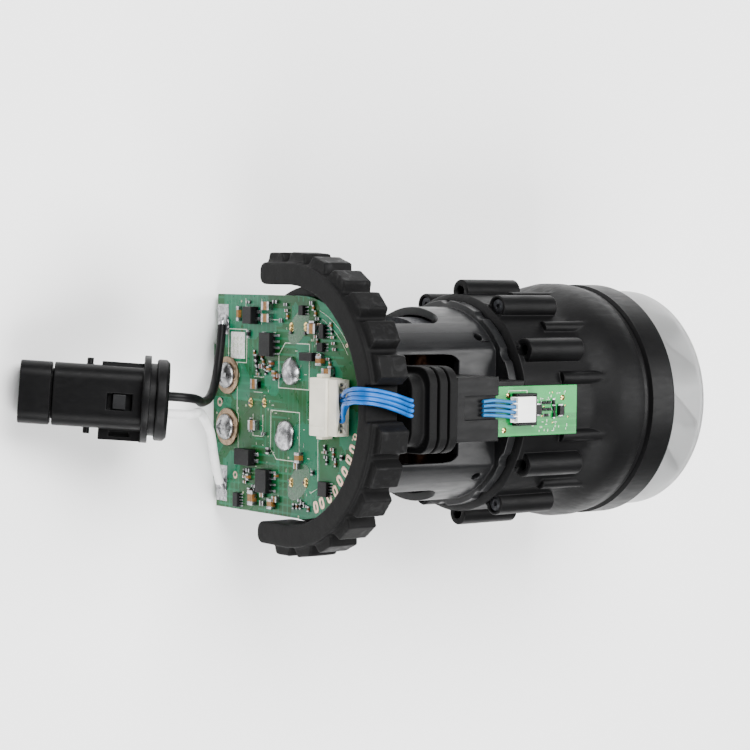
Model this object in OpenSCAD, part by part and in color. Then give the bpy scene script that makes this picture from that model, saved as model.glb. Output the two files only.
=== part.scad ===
// Fan motor module of a cordless hand vacuum, with its control board, sensor board and power plug.
// X runs along the motor axis from the control board to the air inlet, Y is across and Z is up.
// The origin is on the motor axis, in the plane of the control board's outer face.

/* [Control board] */
// Radius of the board's round end, which is also half its width
board_r = 22.8; // [18:0.1:28]
// Distance from the motor axis to the board's straight edge
board_drop = 30.5; // [25:0.1:37]
// Thickness of the board
board_t = 1.6; // [1:0.1:2.4]
// How far the tongue stands out past the straight edge
tongue_out = 1.3; // [0:0.1:3]
// Distance of each terminal screw from the board's centre line
screw_y = 5.5; // [4.6:0.1:7]
// Thread diameter of the terminal screws
screw_d = 3; // [2:0.1:4]

/* [Bulk capacitors] */
// Diameter of each bulk capacitor
cap_d = 10; // [6:0.1:11]
// Length of each bulk capacitor
cap_len = 16; // [10:0.5:18]

/* [Rear mount] */
// Gap between the board's edge and the rubber mount
mount_gap = 1.6; // [0.8:0.1:4]
// Thickness of the rubber band under the ribs
mount_wall = 4.6; // [3:0.1:6]
// Height of the ribs above the band
rib_h = 2; // [0.8:0.1:3]
// Length of the mount along the motor axis
mount_len = 8; // [6:0.1:12]
// How far the mount stands out past the board's outer face
mount_out = 3.8; // [2:0.1:4.2]
// Length of the mount's two straight legs
mount_leg = 9.5; // [6:0.1:13]
// How far the mount sits to the +Y side of the board
mount_shift = 0.6; // [0:0.1:0.8]
// Number of ribs that would fill a whole turn
rib_count = 26; // [16:2:32]
// Width of the notch that the sensor wires lie in
notch_w = 7.2; // [6.6:0.1:9]

/* [Motor frame] */
// Outer radius of the motor frame
can_r = 20.6; // [18:0.1:26]
// Wall of the motor frame
can_wall = 1.8; // [1.2:0.1:2.4]
// Length of the motor frame without its flange
can_len = 33; // [28:0.5:42]
// Length of the windows in the motor frame
window_len = 24; // [16:0.5:26]
// Angle that each window spans
window_angle = 65; // [45:1:70]

/* [Front frame] */
// Length of the front frame
frame_len = 38; // [36:0.5:46]
// Wall of the front frame
frame_wall = 2; // [1.4:0.1:2.6]
// Radius of each screw boss
boss_r = 2.5; // [2:0.1:3]
// Length of each screw boss
boss_len = 15; // [10:0.5:18]
// How far the front bulge stands out past the motor frame
bulge_out = 5.2; // [4.5:0.1:6.2]

/* [Front seal] */
// Outer radius of the rubber seal
seal_r = 25.6; // [25:0.05:32]
// Length of the rubber seal along the motor axis
seal_len = 9; // [7:0.1:12]

/* [Inlet shroud] */
// Outer radius of the clear shroud
shroud_r = 24.3; // [20.4:0.1:28.8]
// Length of the clear shroud past the front frame
shroud_len = 16.5; // [14:0.1:20]
// Wall of the clear shroud
shroud_wall = 1.2; // [0.8:0.1:1.6]
// Number of slanted vanes inside the shroud
shroud_vanes = 12; // [6:1:16]
// Radius of the inlet's throat
throat_r = 12.5; // [10:0.1:14]

/* [Rotor] */
// Diameter of the shaft
shaft_d = 4; // [3:0.1:5]
// Radial running clearance between the shaft and its bearings
shaft_gap = 0.05; // [0.01:0.01:0.1]
// Diameter of the rotor magnet
magnet_d = 10; // [8:0.1:12]
// Outer diameter of the bearings
bearing_d = 9; // [8:0.1:11]
// Width of each bearing
bearing_w = 4; // [3:0.1:5]
// Length of the bearing sleeve
sleeve_len = 19; // [16:0.5:24]
// Number of impeller blades
blade_count = 9; // [7:1:13]
// Gap between the impeller blades and the shroud
blade_gap = 0.5; // [0.4:0.05:1]

/* [Stator] */
// Length of the stator cores along the motor axis
stator_len = 12; // [8:0.5:12]
// Air gap between the magnet and the stator poles
air_gap = 0.5; // [0.3:0.05:1]

/* [Sensor board] */
// Length of the sensor board
sensor_l = 22.3; // [20:0.1:26]
// Width of the sensor board
sensor_w = 10.2; // [9:0.1:13]
// Thickness of the sensor board
sensor_t = 1; // [0.8:0.1:1.6]
// Height of the sensor board's top above the motor axis
sensor_z = 27.6; // [27.4:0.1:32]

/* [Connectors] */
// Pitch of the contacts in both connectors
pin_pitch = 1; // [0.8:0.05:1.25]
// Number of contacts in the control board's connector
main_ways = 10; // [8:1:10]
// Diameter of each sensor wire
wire_d = 0.8; // [0.6:0.05:0.9]

/* [Power plug] */
// Length of the power plug
plug_len = 29.6; // [26:0.1:36]
// Width of the plug's body
plug_w = 12.6; // [11:0.1:16]
// Height of the plug's body
plug_h = 11.6; // [10:0.1:14]
// Radius of the plug's large flange
plug_flange_r = 8.8; // [8.4:0.1:11]
// Diameter of the two power leads
lead_d = 1.9; // [1.4:0.1:2.4]

/* [Hidden] */
$fn = 64;
eps = 0.05;

// Stations along the motor axis
post_h = 1.2;
carrier_t = 2.2;
carrier_x = board_t + post_h;
can_x = carrier_x + carrier_t;
can_front = can_x + can_len;
flange_t = 2;
frame_x = can_front + flange_t;
frame_front = frame_x + frame_len;
shroud_front = frame_front + shroud_len;
seal_x = frame_front - seal_len / 2;
stator_x = can_front - stator_len - 2;
hub_wall = 2.2;
sleeve_r = bearing_d / 2 + 2.5;
sleeve_x = frame_x + 1.5;
sleeve_front = sleeve_x + sleeve_len;
impeller_len = 15;
impeller_x = frame_front - 1;
impeller_front = impeller_x + impeller_len - 2;
bell_back = frame_front - 3;

// Radii
mount_in = board_r + mount_gap;
mount_band = mount_in + mount_wall;
mount_rib = mount_band + rib_h;
seat_gap = 0.1;
flange_r = can_r + 1.4;
boss_gap = 0.1;
body_r = can_r + 2.8;
boss_ring = body_r + 0.6;
bulge_r = can_r + bulge_out;
seal_seat_r = min(shroud_r, bulge_r - 1);
shell_in = seal_seat_r - frame_wall;
cap_ring = can_r - cap_d / 2 - 0.4;
lead_pad_y = 0.73 * board_r;
lead_pad_z = -0.91 * board_drop;
terminal_z = -(board_drop - 4.5);

// Turns a profile of [radius, x] points about the motor axis
module turned(points) {
    rotate([0, 90, 0]) rotate_extrude($fn = 96) polygon(points);
}

// A tube on the motor axis
module ring(x, len, outer, inner) {
    turned([[inner, x], [outer, x], [outer, x + len], [inner, x + len]]);
}

// Places its children at an angle from straight up towards +Y, turned about the motor axis
module around(angle) {
    rotate([-angle, 0, 0]) children();
}

// A round bar along X
module bar(x, y, z, r, len) {
    translate([x, y, z]) rotate([0, 90, 0]) cylinder(r = r, h = len);
}

// A rectangle with round corners, centred
module round_rect(w, h, r) {
    square([w - 2 * r, h], center = true);
    square([w, h - 2 * r], center = true);
    for (sx = [-1, 1], sy = [-1, 1])
        translate([sx * (w / 2 - r), sy * (h / 2 - r)]) circle(r = r, $fn = 32);
}

// A block with its X, Y and Z spans
module block(x, y, z) {
    translate([x[0], y[0], z[0]]) cube([x[1] - x[0], y[1] - y[0], z[1] - z[0]]);
}

// Lays a flat drawing of [y, z] shapes across the motor axis, from x and len thick
module plate(x, len) {
    translate([x, 0, 0]) rotate([90, 0, 90]) linear_extrude(len) children();
}

// Puts a rectangular component on the board's outer face, y and z as shares of the board
function on_y(share) = share * board_r;
function on_z(share) = share * (share < 0 ? board_drop : board_r);
module component(y, z, w, h, tall) {
    translate([-tall, on_y(y) - w / 2, on_z(z) - h / 2]) cube([tall, w, h]);
}

// A tube swept along points, with a ring of corners in the plane across each point
function unit(v) = v / norm(v);
function heading(p, i) = unit(p[min(i + 1, len(p) - 1)] - p[max(i - 1, 0)]);
function side(h) = unit(cross(h, abs(h[1]) < 0.9 ? [0, 1, 0] : [1, 0, 0]));
function tube_ring(p, i, r, sides) =
    let (h = heading(p, i), a = side(h), b = cross(h, a))
    [for (k = [0 : sides - 1]) p[i] + r * (cos(360 * k / sides) * a + sin(360 * k / sides) * b)];
module tube(p, d) {
    sides = 8;
    rings = len(p);
    corners = [for (i = [0 : rings - 1]) each tube_ring(p, i, d / 2, sides)];
    walls = [for (i = [0 : rings - 2], k = [0 : sides - 1])
        [i * sides + k, i * sides + (k + 1) % sides,
         (i + 1) * sides + (k + 1) % sides, (i + 1) * sides + k]];
    ends = [[for (k = [sides - 1 : -1 : 0]) k], [for (k = [0 : sides - 1]) (rings - 1) * sides + k]];
    polyhedron(points = corners, faces = concat(walls, ends), convexity = 6);
}

// ---- Casing ----
bay_angles = [0, 90, 180, 270];
boss_angles = [for (k = [1 : 11]) 30 * k];
screw_angles = [60, 120, 240, 300];

module window() {
    half = can_r * sin(window_angle / 2);
    corner = 4;
    front = can_x + window_len - corner;
    depth = can_wall + 12;
    translate([0, 0, can_r * cos(window_angle / 2) - 3])
        linear_extrude(depth) polygon(concat(
            [[can_x - 1, -half]],
            [for (a = [-90 : 10 : 0]) [front + corner * cos(a), corner - half + corner * sin(a)]],
            [for (a = [0 : 10 : 90]) [front + corner * cos(a), half - corner + corner * sin(a)]],
            [[can_x - 1, half]]
        ));
}

pad_z = can_r * cos(window_angle / 2) - 0.5;
pad_t = 1.6;

module motor_frame() {
    color("#3b3c3e")
        difference() {
            union() {
                difference() {
                    ring(can_x, can_len, can_r, can_r - can_wall);
                    for (a = bay_angles) around(a) window();
                    block([can_x - 1, can_front + 1], [-can_r, can_r], [pad_z, can_r + 1]);
                }
                ring(can_front - eps, flange_t + eps, flange_r, can_r - 5);
                intersection() {
                    bar(can_x + window_len - 1, 0, 0, can_r - can_wall / 2, can_len - window_len + 1 + eps);
                    block([can_x, can_front + 1], [-can_r, can_r], [pad_z - pad_t, pad_z]);
                }
            }
            for (a = boss_angles) around(a)
                bar(can_front - 0.5, 0, boss_ring, boss_r + boss_gap, flange_t + 2);
            for (a = bay_angles) around(a + 45) window_slot();
        }
}

// A vent slot in the solid part of the frame between two windows
module window_slot() {
    translate([can_front - 3, 0, can_r - 4]) cylinder(d = 2, h = 8);
}

vent_count = 8;
boss_x = frame_x + 2.2;
screw_len = 9;
screw_head = 1.05;
head_sink = 1.4;
module front_frame() {
    color("#141414")
        difference() {
            union() {
                turned([
                    [sleeve_r + seat_gap / 2, frame_x], [flange_r, frame_x], [body_r, frame_x + 1],
                    [body_r, frame_x + 19], [bulge_r - 0.6, frame_x + 24], [bulge_r, frame_x + 27],
                    [bulge_r, frame_x + 30.5], [bulge_r - 0.5, seal_x - 0.1], [seal_seat_r, seal_x - 0.1],
                    [seal_seat_r, frame_front], [shell_in, frame_front], [shell_in, frame_x + 24],
                    [body_r - frame_wall, frame_x + 19], [body_r - frame_wall, frame_x + 3],
                    [sleeve_r + hub_wall, frame_x + 3], [sleeve_r + hub_wall, sleeve_front],
                    [sleeve_r + seat_gap / 2, sleeve_front]
                ]);
                for (a = boss_angles) around(a) boss();
                for (k = [0 : 11]) around(15 + 30 * k) side_rib();
            }
            for (a = boss_angles) around(a)
                bar(boss_x - 1, 0, boss_ring, 1.1, screw_len + 2.5);
            for (a = screw_angles) around(a)
                bar(boss_x - 1, 0, boss_ring, 1.8, head_sink + 1);
            for (k = [0 : vent_count - 1]) around(360 / vent_count * (k + 0.5))
                bar(frame_x - 1, 0, (body_r + sleeve_r) / 2, 3.2, 6);
        }
}

module boss() {
    bar(boss_x, 0, boss_ring, boss_r, boss_len);
}

module side_rib() {
    intersection() {
        bar(frame_x + 11, 0, body_r, 1.3, 12);
        ring(frame_x + 10, 14, body_r + 2, body_r - 1);
    }
}

diffuser_x = sleeve_front + 0.3;
diffuser_len = bell_back - diffuser_x - 0.4;
diffuser_r = 15.5;
diffuser_vanes = 15;
module diffuser() {
    color("#1c1c1e") {
        turned([
            [shaft_d / 2 + 1.2, diffuser_x], [diffuser_r - 1, diffuser_x], [diffuser_r, diffuser_x + 1],
            [diffuser_r, diffuser_x + diffuser_len], [diffuser_r - 1.5, diffuser_x + diffuser_len],
            [diffuser_r - 1.5, diffuser_x + 2], [shaft_d / 2 + 1.2, diffuser_x + 2]
        ]);
        intersection() {
            ring(diffuser_x + 3, diffuser_len - 3.5, shell_in - seat_gap, diffuser_r - 0.5);
            for (k = [1 : diffuser_vanes]) around(360 / diffuser_vanes * k)
                translate([diffuser_x + diffuser_len / 2 + 1, 0, (shell_in + diffuser_r) / 2])
                    rotate([0, 0, 28]) cube([diffuser_len, 0.8, shell_in], center = true);
        }
    }
}

seal_lip = 0.9;
module front_seal() {
    inner = seal_seat_r + seat_gap / 2;
    front = seal_x + seal_len;
    color("#0e0e0e")
        turned([
            [inner, seal_x], [bulge_r - 0.7, seal_x], [bulge_r - 0.7, seal_x + 0.8],
            [bulge_r - 1.1, seal_x + 1], [bulge_r - 1.1, seal_x + 1.6], [seal_r, seal_x + 2],
            [seal_r, front - seal_lip], for (a = [15 : 15 : 75])
                [seal_r - seal_lip * (1 - cos(a)), front - seal_lip * (1 - sin(a))],
            [seal_r - seal_lip, front], [inner, front]
        ]);
}

lip_r = 3.5;
bell_front = shroud_r - lip_r;
bell_r = shell_in - shroud_wall - 0.3;
throat_x = shroud_front - 6;
vane_skew = 41;
vane_t = 0.7;

function bell_radius(x) =
    throat_r + (bell_r - throat_r) * pow((throat_x - x) / (throat_x - bell_back), 1.6);

bell_steps = 8;
bell_inner = [for (k = [0 : bell_steps])
    let (x = throat_x + (bell_back - throat_x) * k / bell_steps) [bell_radius(x), x]];
bell_outer = [for (k = [bell_steps : -1 : 0])
    let (x = throat_x + (bell_back - throat_x) * k / bell_steps) [bell_radius(x) + shroud_wall, x]];
module inlet_shroud() {
    mouth_r = shroud_front - throat_x;
    mouth = shroud_r - lip_r - throat_r;
    color("#d9dcdc", 0.6) {
        turned(concat(
            [[shroud_r - shroud_wall, frame_front + 0.1], [shroud_r, frame_front + 0.1]],
            [for (a = [0 : 15 : 90])
                [shroud_r - lip_r + lip_r * cos(a), shroud_front - lip_r + lip_r * sin(a)]],
            [for (a = [15 : 15 : 90])
                [throat_r + mouth * (1 - sin(a)), throat_x + mouth_r * cos(a)]],
            [for (p = bell_inner) p],
            [for (p = bell_outer) p],
            [for (a = [75 : -15 : 15])
                [throat_r + shroud_wall + (mouth - shroud_wall / 2) * (1 - sin(a)),
                 throat_x + (mouth_r - shroud_wall) * cos(a)]],
            [for (a = [75 : -15 : 0])
                [shroud_r - lip_r + (lip_r - shroud_wall) * cos(a),
                 shroud_front - lip_r + (lip_r - shroud_wall) * sin(a)]]
        ));
        intersection() {
            turned(concat(
                [[shroud_r - shroud_wall / 2, frame_front + 1], [shroud_r - shroud_wall / 2, shroud_front - lip_r],
                 [bell_front, shroud_front - shroud_wall / 2], [throat_r + shroud_wall / 2, throat_x]],
                [for (k = [1 : 5]) [bell_inner[k][0] + shroud_wall / 2, bell_inner[k][1]]]
            ));
            for (k = [1 : shroud_vanes]) around(360 / shroud_vanes * k)
                translate([(frame_front + shroud_front) / 2, 0, 0]) rotate([0, 0, -vane_skew])
                    block([-12, 12], [-vane_t / 2, vane_t / 2], [throat_r, shroud_r]);
        }
    }
}

// ---- Rear mount ----
// The mount's outline: an arch of the given radius with straight legs
module arch(r, leg) {
    intersection() {
        circle(r = r, $fn = 128);
        translate([-r, 0]) square([2 * r, r]);
    }
    translate([-r, -leg]) square([2 * r, leg + eps]);
}

// The ribs are counted both ways from the notch, which takes the place of one of them
rib_share = 0.62;
rib_step = 360 / rib_count;
notch_turn = 3;
notch_y = mount_rib * sin(notch_turn);
function past_arch(s) = rib_step - (90 - s * notch_turn) % rib_step;
module mount_ribs_flat() {
    for (s = [-1, 1], a = [rib_step : rib_step : 90 - s * notch_turn])
        rotate(90 - notch_turn - s * a) translate([mount_band - 1, 0]) rib_flat();
    for (s = [-1, 1]) translate([s * (mount_band - 1), -past_arch(s) * PI / 180 * mount_rib])
        mirror([s < 0 ? 1 : 0, 0]) rib_flat();
}

module rib_flat() {
    root = 2 * PI * mount_rib / rib_count * (rib_share + 0.18);
    tip = 2 * PI * mount_rib / rib_count * (rib_share - 0.04);
    polygon([[0, -root / 2], [1, -root / 2], [rib_h + 1, -tip / 2], [rib_h + 1, tip / 2],
        [1, root / 2], [0, root / 2]]);
}

module rear_mount() {
    leg_end = 1.8;
    band_len = 1.2;
    color("#101011")
        translate([0, mount_shift, 0]) difference() {
            union() {
                plate(-mount_out, mount_len) difference() {
                    union() {
                        arch(mount_band, mount_leg - leg_end);
                        for (s = [-1, 1]) translate([s * (mount_in + mount_wall / 2), -mount_leg + leg_end]) {
                            square([mount_wall - 2 * leg_end, 2 * leg_end], center = true);
                            for (t = [-1, 1]) translate([t * (mount_wall / 2 - leg_end), 0])
                                circle(r = leg_end, $fn = 32);
                        }
                    }
                    arch(mount_in, mount_leg + 1);
                }
                plate(band_len - mount_out, mount_len - band_len) difference() {
                    mount_ribs_flat();
                    arch(mount_in + 1, mount_leg + 6);
                }
            }
            block([-mount_out - 1, mount_len], [notch_y - notch_w / 2, notch_y + notch_w / 2],
                [mount_in + 2.4, mount_rib + 3]);
        }
}

// ---- Control board ----
module board_outline(grow) {
    intersection() {
        circle(r = board_r + grow, $fn = 128);
        translate([-board_r - grow, 0]) square([2 * (board_r + grow), board_r + grow]);
    }
    translate([-board_r - grow, -board_drop - grow])
        square([2 * (board_r + grow), board_drop + grow + eps]);
}

tongue_y = [-17, 12];
cap_places = [[cap_ring, -0.6], [-cap_ring, -0.6], [0, -cap_ring]];
cap_pins = 5;
coil_pads = [[0.31, -0.08], [-0.27, -0.16]];
module control_board() {
    color("#1f7a4d")
        difference() {
            plate(0, board_t) {
                board_outline(0);
                translate([tongue_y[0], -board_drop - tongue_out])
                    square([tongue_y[1] - tongue_y[0], tongue_out + eps]);
            }
            for (s = [-1, 1]) bar(-1, s * screw_y, terminal_z, screw_d / 2 + 0.15, board_t + 2);
            for (p = cap_places, s = [-1, 1])
                bar(-1, p[0], p[1] + s * cap_pins / 2, 0.45, board_t + 2);
            bar(-1, 0, lead_pad_z - 1, 0.6, board_t + 2);
        }
}

module board_carrier() {
    foot_y = screw_y + 5;
    color("#161616")
        difference() {
            union() {
                translate([0, mount_shift, 0]) ring(carrier_x, carrier_t, mount_in - seat_gap, 9);
                block([carrier_x, can_x], [-foot_y, foot_y], [-board_drop + 0.5, -board_r + 1]);
                for (s = [-1, 1]) {
                    bar(board_t, s * screw_y, terminal_z, 3, post_h + eps);
                    for (z = [-0.62, 0.55]) bar(board_t, s * 0.62 * board_r, z * board_r, 2, post_h + eps);
                    bar(carrier_x, s * screw_y, terminal_z, 3.4, carrier_t + 4);
                }
            }
            for (s = [-1, 1]) bar(0, s * screw_y, terminal_z, screw_d / 2, 20);
            for (p = cap_places) bar(0, p[0], p[1], cap_d / 2 + 0.25, 20);
            around(0) block([0, 20], [-10.4, 10.4], [14, mount_in + 1]);
        }
}

module terminal_screws() {
    head = 1.9;
    color("#b9bcc0")
        for (s = [-1, 1]) translate([0, s * screw_y, terminal_z]) rotate([0, 90, 0])
            difference() {
                union() {
                    translate([0, 0, -washer_t - head]) intersection() {
                        cylinder(d = 5.6, h = head);
                        translate([0, 0, 3.4]) sphere(r = 3.4);
                    }
                    translate([0, 0, -washer_t - eps]) cylinder(d = screw_d, h = carrier_x + carrier_t + 3);
                }
                translate([0, 0, -washer_t - head - 1]) for (a = [0, 90]) rotate(a)
                    translate([-1.5, -0.35, 0]) cube([3, 0.7, 1.9]);
            }
}

washer_t = 0.6;
washer_d = 8;
module terminal_washers() {
    color("#b08d6a")
        for (s = [-1, 1]) translate([-washer_t, s * screw_y, terminal_z]) rotate([0, 90, 0])
            difference() {
                cylinder(d = washer_d, h = washer_t);
                translate([0, 0, -1]) cylinder(d = screw_d + 0.3, h = washer_t + 2);
            }
}

// A small outline package of four legs a side: body, then gull wing legs across its width
module gull_package(w, h, tall, legs, pitch) {
    translate([-tall, -w / 2, -h / 2]) cube([tall - 0.15, w, h]);
    for (s = [-1, 1], k = [0 : legs - 1]) translate([0, (k - (legs - 1) / 2) * pitch, s * h / 2]) {
        translate([-0.8, -0.2, -0.1]) cube([0.2, 0.4, s > 0 ? 0.6 : 0.1]);
        translate([-0.8, -0.2, s > 0 ? 0.4 : -0.6]) cube([0.8, 0.4, 0.2]);
        if (s < 0) translate([-0.8, -0.2, -0.6]) cube([0.2, 0.4, 0.7]);
        translate([-0.2, -0.2, s > 0 ? 0.4 : -1.1]) cube([0.2, 0.4, 0.7]);
    }
}

driver_places = [[0.55, -0.35], [-0.7, -0.38]];
module driver_chips() {
    color("#1d1d1f")
        for (p = driver_places) translate([0, on_y(p[0]), on_z(p[1])])
            gull_package(4.9, 3.9, 1.7, 4, 1.27);
}

logic_places = [[0.87, 0.05, 2, 1.6], [0.69, 0.36, 2.9, 1.6], [0.55, 0.34, 1.8, 2],
    [-0.91, -0.72, 3, 1.8], [-0.7, 0.4, 3, 3]];
module logic_chips() {
    color("#222224") for (p = logic_places) component(p[0], p[1], p[2], p[3], 1);
}

diode_places = [[0.81, -0.55, 3.6, 3.2, 2], [-0.5, -0.6, 3.4, 5.4, 2], [0.46, 0.16, 1.7, 4.4, 1.5]];
module power_diodes() {
    color("#2a2c31") for (p = diode_places) component(p[0], p[1], p[2], p[3], p[4]);
}

ceramic_places = [[0.9, -0.37, 1.7, 2.6], [0.79, -0.37, 1.7, 2.6], [0.71, 0.22, 2, 2.6],
    [0.43, 0.33, 1.8, 1.8], [0.33, 0.45, 1.6, 3], [-0.2, -0.52, 2, 2.4], [0.18, -0.5, 2, 2.2],
    [-0.87, -0.53, 3, 1.8], [-0.45, 0.02, 2, 1.6], [-0.9, -0.3, 2, 1.6]];
module ceramic_capacitors() {
    color("#b08a5a") for (p = ceramic_places) component(p[0], p[1], p[2], p[3], 1.1);
}

module bulk_capacitors() {
    color("#18191c")
        for (p = cap_places) translate([board_t + 0.3, p[0], p[1]]) rotate([0, 90, 0]) {
            rotate_extrude() polygon([
                [0, 0], [cap_d / 2 - 0.4, 0], [cap_d / 2, 0.4], [cap_d / 2, 1.6],
                [cap_d / 2 - 0.35, 2.1], [cap_d / 2, 2.6], [cap_d / 2, cap_len - 0.5],
                [cap_d / 2 - 0.5, cap_len], [0, cap_len]
            ]);
            for (s = [-1, 1]) translate([s * cap_pins / 2, 0, -board_t - 0.8])
                cylinder(d = 0.6, h = board_t + 1);
        }
}

module coil_terminals() {
    color("#c9cbd0")
        for (p = coil_pads) translate([0, on_y(p[0]), on_z(p[1])]) rotate([0, -90, 0]) {
            rotate_extrude() polygon([[0, 0], [3.1, 0], [2.6, 0.4], [1.5, 1], [0.9, 1.6], [0, 1.8]]);
            translate([-2.4, -0.8, 0]) cube([4.6, 1.1, 1.1]);
        }
}

// ---- Connectors ----
header_y = 0.8;
header_len = (main_ways - 1) * pin_pitch + 2.6;
header_z = [0.395 * board_r, 0.395 * board_r + 5.4];
header_tall = 4.2;
module board_header() {
    color("#f1ead7")
        difference() {
            block([-header_tall, 0], [header_y - header_len / 2, header_y + header_len / 2], header_z);
            block([-header_tall + 0.8, -0.6], [header_y - header_len / 2 + 0.6, header_y + header_len / 2 - 0.6],
                [header_z[0] + 3, header_z[1] + 1]);
        }
}

plug_fit = 0.1;
main_plug_z = [header_z[0] + 3.1, header_z[1] + 2.8];
function way_y(k) = header_y + ((main_ways - 1) / 2 - k) * pin_pitch;
main_wire_x = -2.2;
slot_deep = 1.2;
slot_half = 0.46 * pin_pitch;
module board_plug() {
    inner = header_len - 1.2 - 2 * plug_fit;
    color("#efe9da")
        difference() {
            union() {
                block([-header_tall + 0.8 + plug_fit, -0.6 - plug_fit],
                    [header_y - inner / 2, header_y + inner / 2], main_plug_z);
                block([-header_tall + 0.6, -0.4], [header_y - inner / 2 - 0.5, header_y + inner / 2 + 0.5],
                    [header_z[1] + 0.1, main_plug_z[1]]);
            }
            for (k = [0 : main_ways - 1])
                block([main_wire_x - slot_half, main_wire_x + slot_half],
                    [way_y(k) - slot_half, way_y(k) + slot_half], [main_plug_z[1] - slot_deep, main_plug_z[1] + 1]);
        }
}

grommet_x = [7.2, 17.6];
// Each sensor wire's route from the connector over the mount and into the grommet. The four wires
// leave their slots, gather two by two and open out again into a flat row.
wire_ways = [2, 3, 6, 7];
gather_y = [3.6, 2.9, 1.9, 1.5];
gather_x = [-4.2, -3.1, -3.1, -4.2];
row_y = [5.1, 4.26, 3.42, 2.58];
entry_y = [2.6, 1.6, 0.6, -0.4];
row_rise = [0.2, 0.6, 0.5, 0.1];
function wire_route(n) =
    let (a = way_y(wire_ways[n]), g = gather_y[n], x = gather_x[n], r = row_y[n],
         drift = entry_y[n] - row_y[n], z = main_plug_z[1] - slot_deep, rise = row_rise[n])
    [[main_wire_x, a, z], [main_wire_x, a, z + 1.5], [(main_wire_x + x) / 2, (a + g) / 2, z + 2.9],
     [x, g, z + 4.4], [x - 0.8, (g + r) / 2, z + 6], [-5.3, r - 0.3, 24], [-5.7, r, 25.7 + rise],
     [-5, r, 27.4 + rise], [-3.4, r + 0.06 * drift, 28.5 + rise], [-1.4, r + 0.2 * drift, 29 + rise],
     [0.8, r + 0.4 * drift, 29.1 + rise], [2.9, r + 0.6 * drift, 28.7 + rise],
     [5, r + 0.8 * drift, 28 + rise / 2], [6.4, r + 0.93 * drift, 27.4 + rise / 2],
     [grommet_x[0] - 0.1, r + drift, 27.2 + rise / 2]];
module sensor_wire(n) {
    color("#2a7fc0") tube(wire_route(n), wire_d);
}

grommet_y = [-8.2, 9.2];
grommet_z = [pad_z - 1, 29.2];
module wire_grommet() {
    mid = (grommet_y[0] + grommet_y[1]) / 2;
    mid_z = (grommet_z[0] + grommet_z[1]) / 2;
    w = grommet_y[1] - grommet_y[0];
    h = grommet_z[1] - grommet_z[0];
    lips = 4;
    groove = 0.6;
    shallow = 1.6;
    step = (grommet_x[1] - grommet_x[0]) / lips;
    color("#17181a") {
        plate(grommet_x[0], grommet_x[1] - grommet_x[0])
            translate([mid, mid_z - shallow / 2]) round_rect(w - 3, h - shallow, 3.2);
        for (k = [1 : lips - 1])
            plate(grommet_x[0] + step * k + groove, step - groove)
                translate([mid, mid_z]) round_rect(w, h, 3.6);
    }
}

bracket_y = [-6, 7];
sensor_x = 28.8;
sensor_mid = -0.2;
bracket_deck = sensor_z - sensor_t;
bracket_front = sensor_x + sensor_l - 1;
module sensor_bracket() {
    rise = body_r + 0.3;
    color("#161719")
        difference() {
            union() {
                block([grommet_x[1] + 0.1, sensor_x - 0.1], bracket_y, [pad_z, grommet_z[1] - 0.4]);
                block([sensor_x - 0.2, can_front - 0.5], [bracket_y[0] + 1, bracket_y[1] - 1],
                    [pad_z, bracket_deck]);
                block([can_front - 1, bracket_front],
                    [sensor_mid - sensor_w / 2 + 0.8, sensor_mid + sensor_w / 2 - 0.8], [rise, bracket_deck]);
            }
            block([grommet_x[1] + 2, sensor_x + 1], [-1.6, 3.2], [sensor_z + 0.15, sensor_z + 1.4]);
            block([grommet_x[1] + 2, sensor_x - 2], [bracket_y[0] + 1.5, bracket_y[1] - 1.5],
                [pad_z - 1, sensor_z - 2]);
        }
}

module sensor_board() {
    color("#2aa05f")
        block([sensor_x, sensor_x + sensor_l], [sensor_mid - sensor_w / 2, sensor_mid + sensor_w / 2],
            [sensor_z - sensor_t, sensor_z]);
}

sensor_ways = 4;
sensor_conn_x = sensor_x + 4.4;
sensor_conn_w = (sensor_ways - 1) * pin_pitch + 3.6;
sensor_conn_y = 0.2;
sensor_wall = 0.6;
module sensor_header() {
    color("#26282a")
        difference() {
            block([sensor_conn_x, sensor_conn_x + 5.6],
                [sensor_conn_y - sensor_conn_w / 2, sensor_conn_y + sensor_conn_w / 2], [sensor_z, sensor_z + 1.5]);
            block([sensor_conn_x - 1, sensor_conn_x + 5],
                [sensor_conn_y - sensor_conn_w / 2 + sensor_wall, sensor_conn_y + sensor_conn_w / 2 - sensor_wall],
                [sensor_z + 0.4, sensor_z + 2]);
        }
}

module sensor_plug() {
    half = sensor_conn_w / 2 - sensor_wall - plug_fit;
    color("#f4f4f1")
        difference() {
            block([sensor_conn_x - 0.9, sensor_conn_x + 4.9], [sensor_conn_y - half, sensor_conn_y + half],
                [sensor_z + 0.5, sensor_z + 1.9]);
            for (k = [0 : sensor_ways - 1])
                translate([sensor_conn_x - 1, sensor_conn_y + (k - 1.5) * pin_pitch - 0.45, sensor_z + 0.6])
                    cube([1.4, 0.9, 0.9]);
        }
}

module sensor_tails() {
    color("#1d5f96")
        for (k = [0 : sensor_ways - 1])
            let (y = sensor_conn_y + (k - 1.5) * pin_pitch)
                tube([[sensor_x - 4, y * 0.9 + 0.5, sensor_z + 0.75], [sensor_x - 1, y + 0.5, sensor_z + 0.8],
                    [sensor_x + 1, y + 0.35, sensor_z + 0.95], [sensor_x + 3, y + 0.1, sensor_z + 1.05],
                    [sensor_conn_x + 0.4, y, sensor_z + 1.05]], wire_d * 0.8);
}

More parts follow.
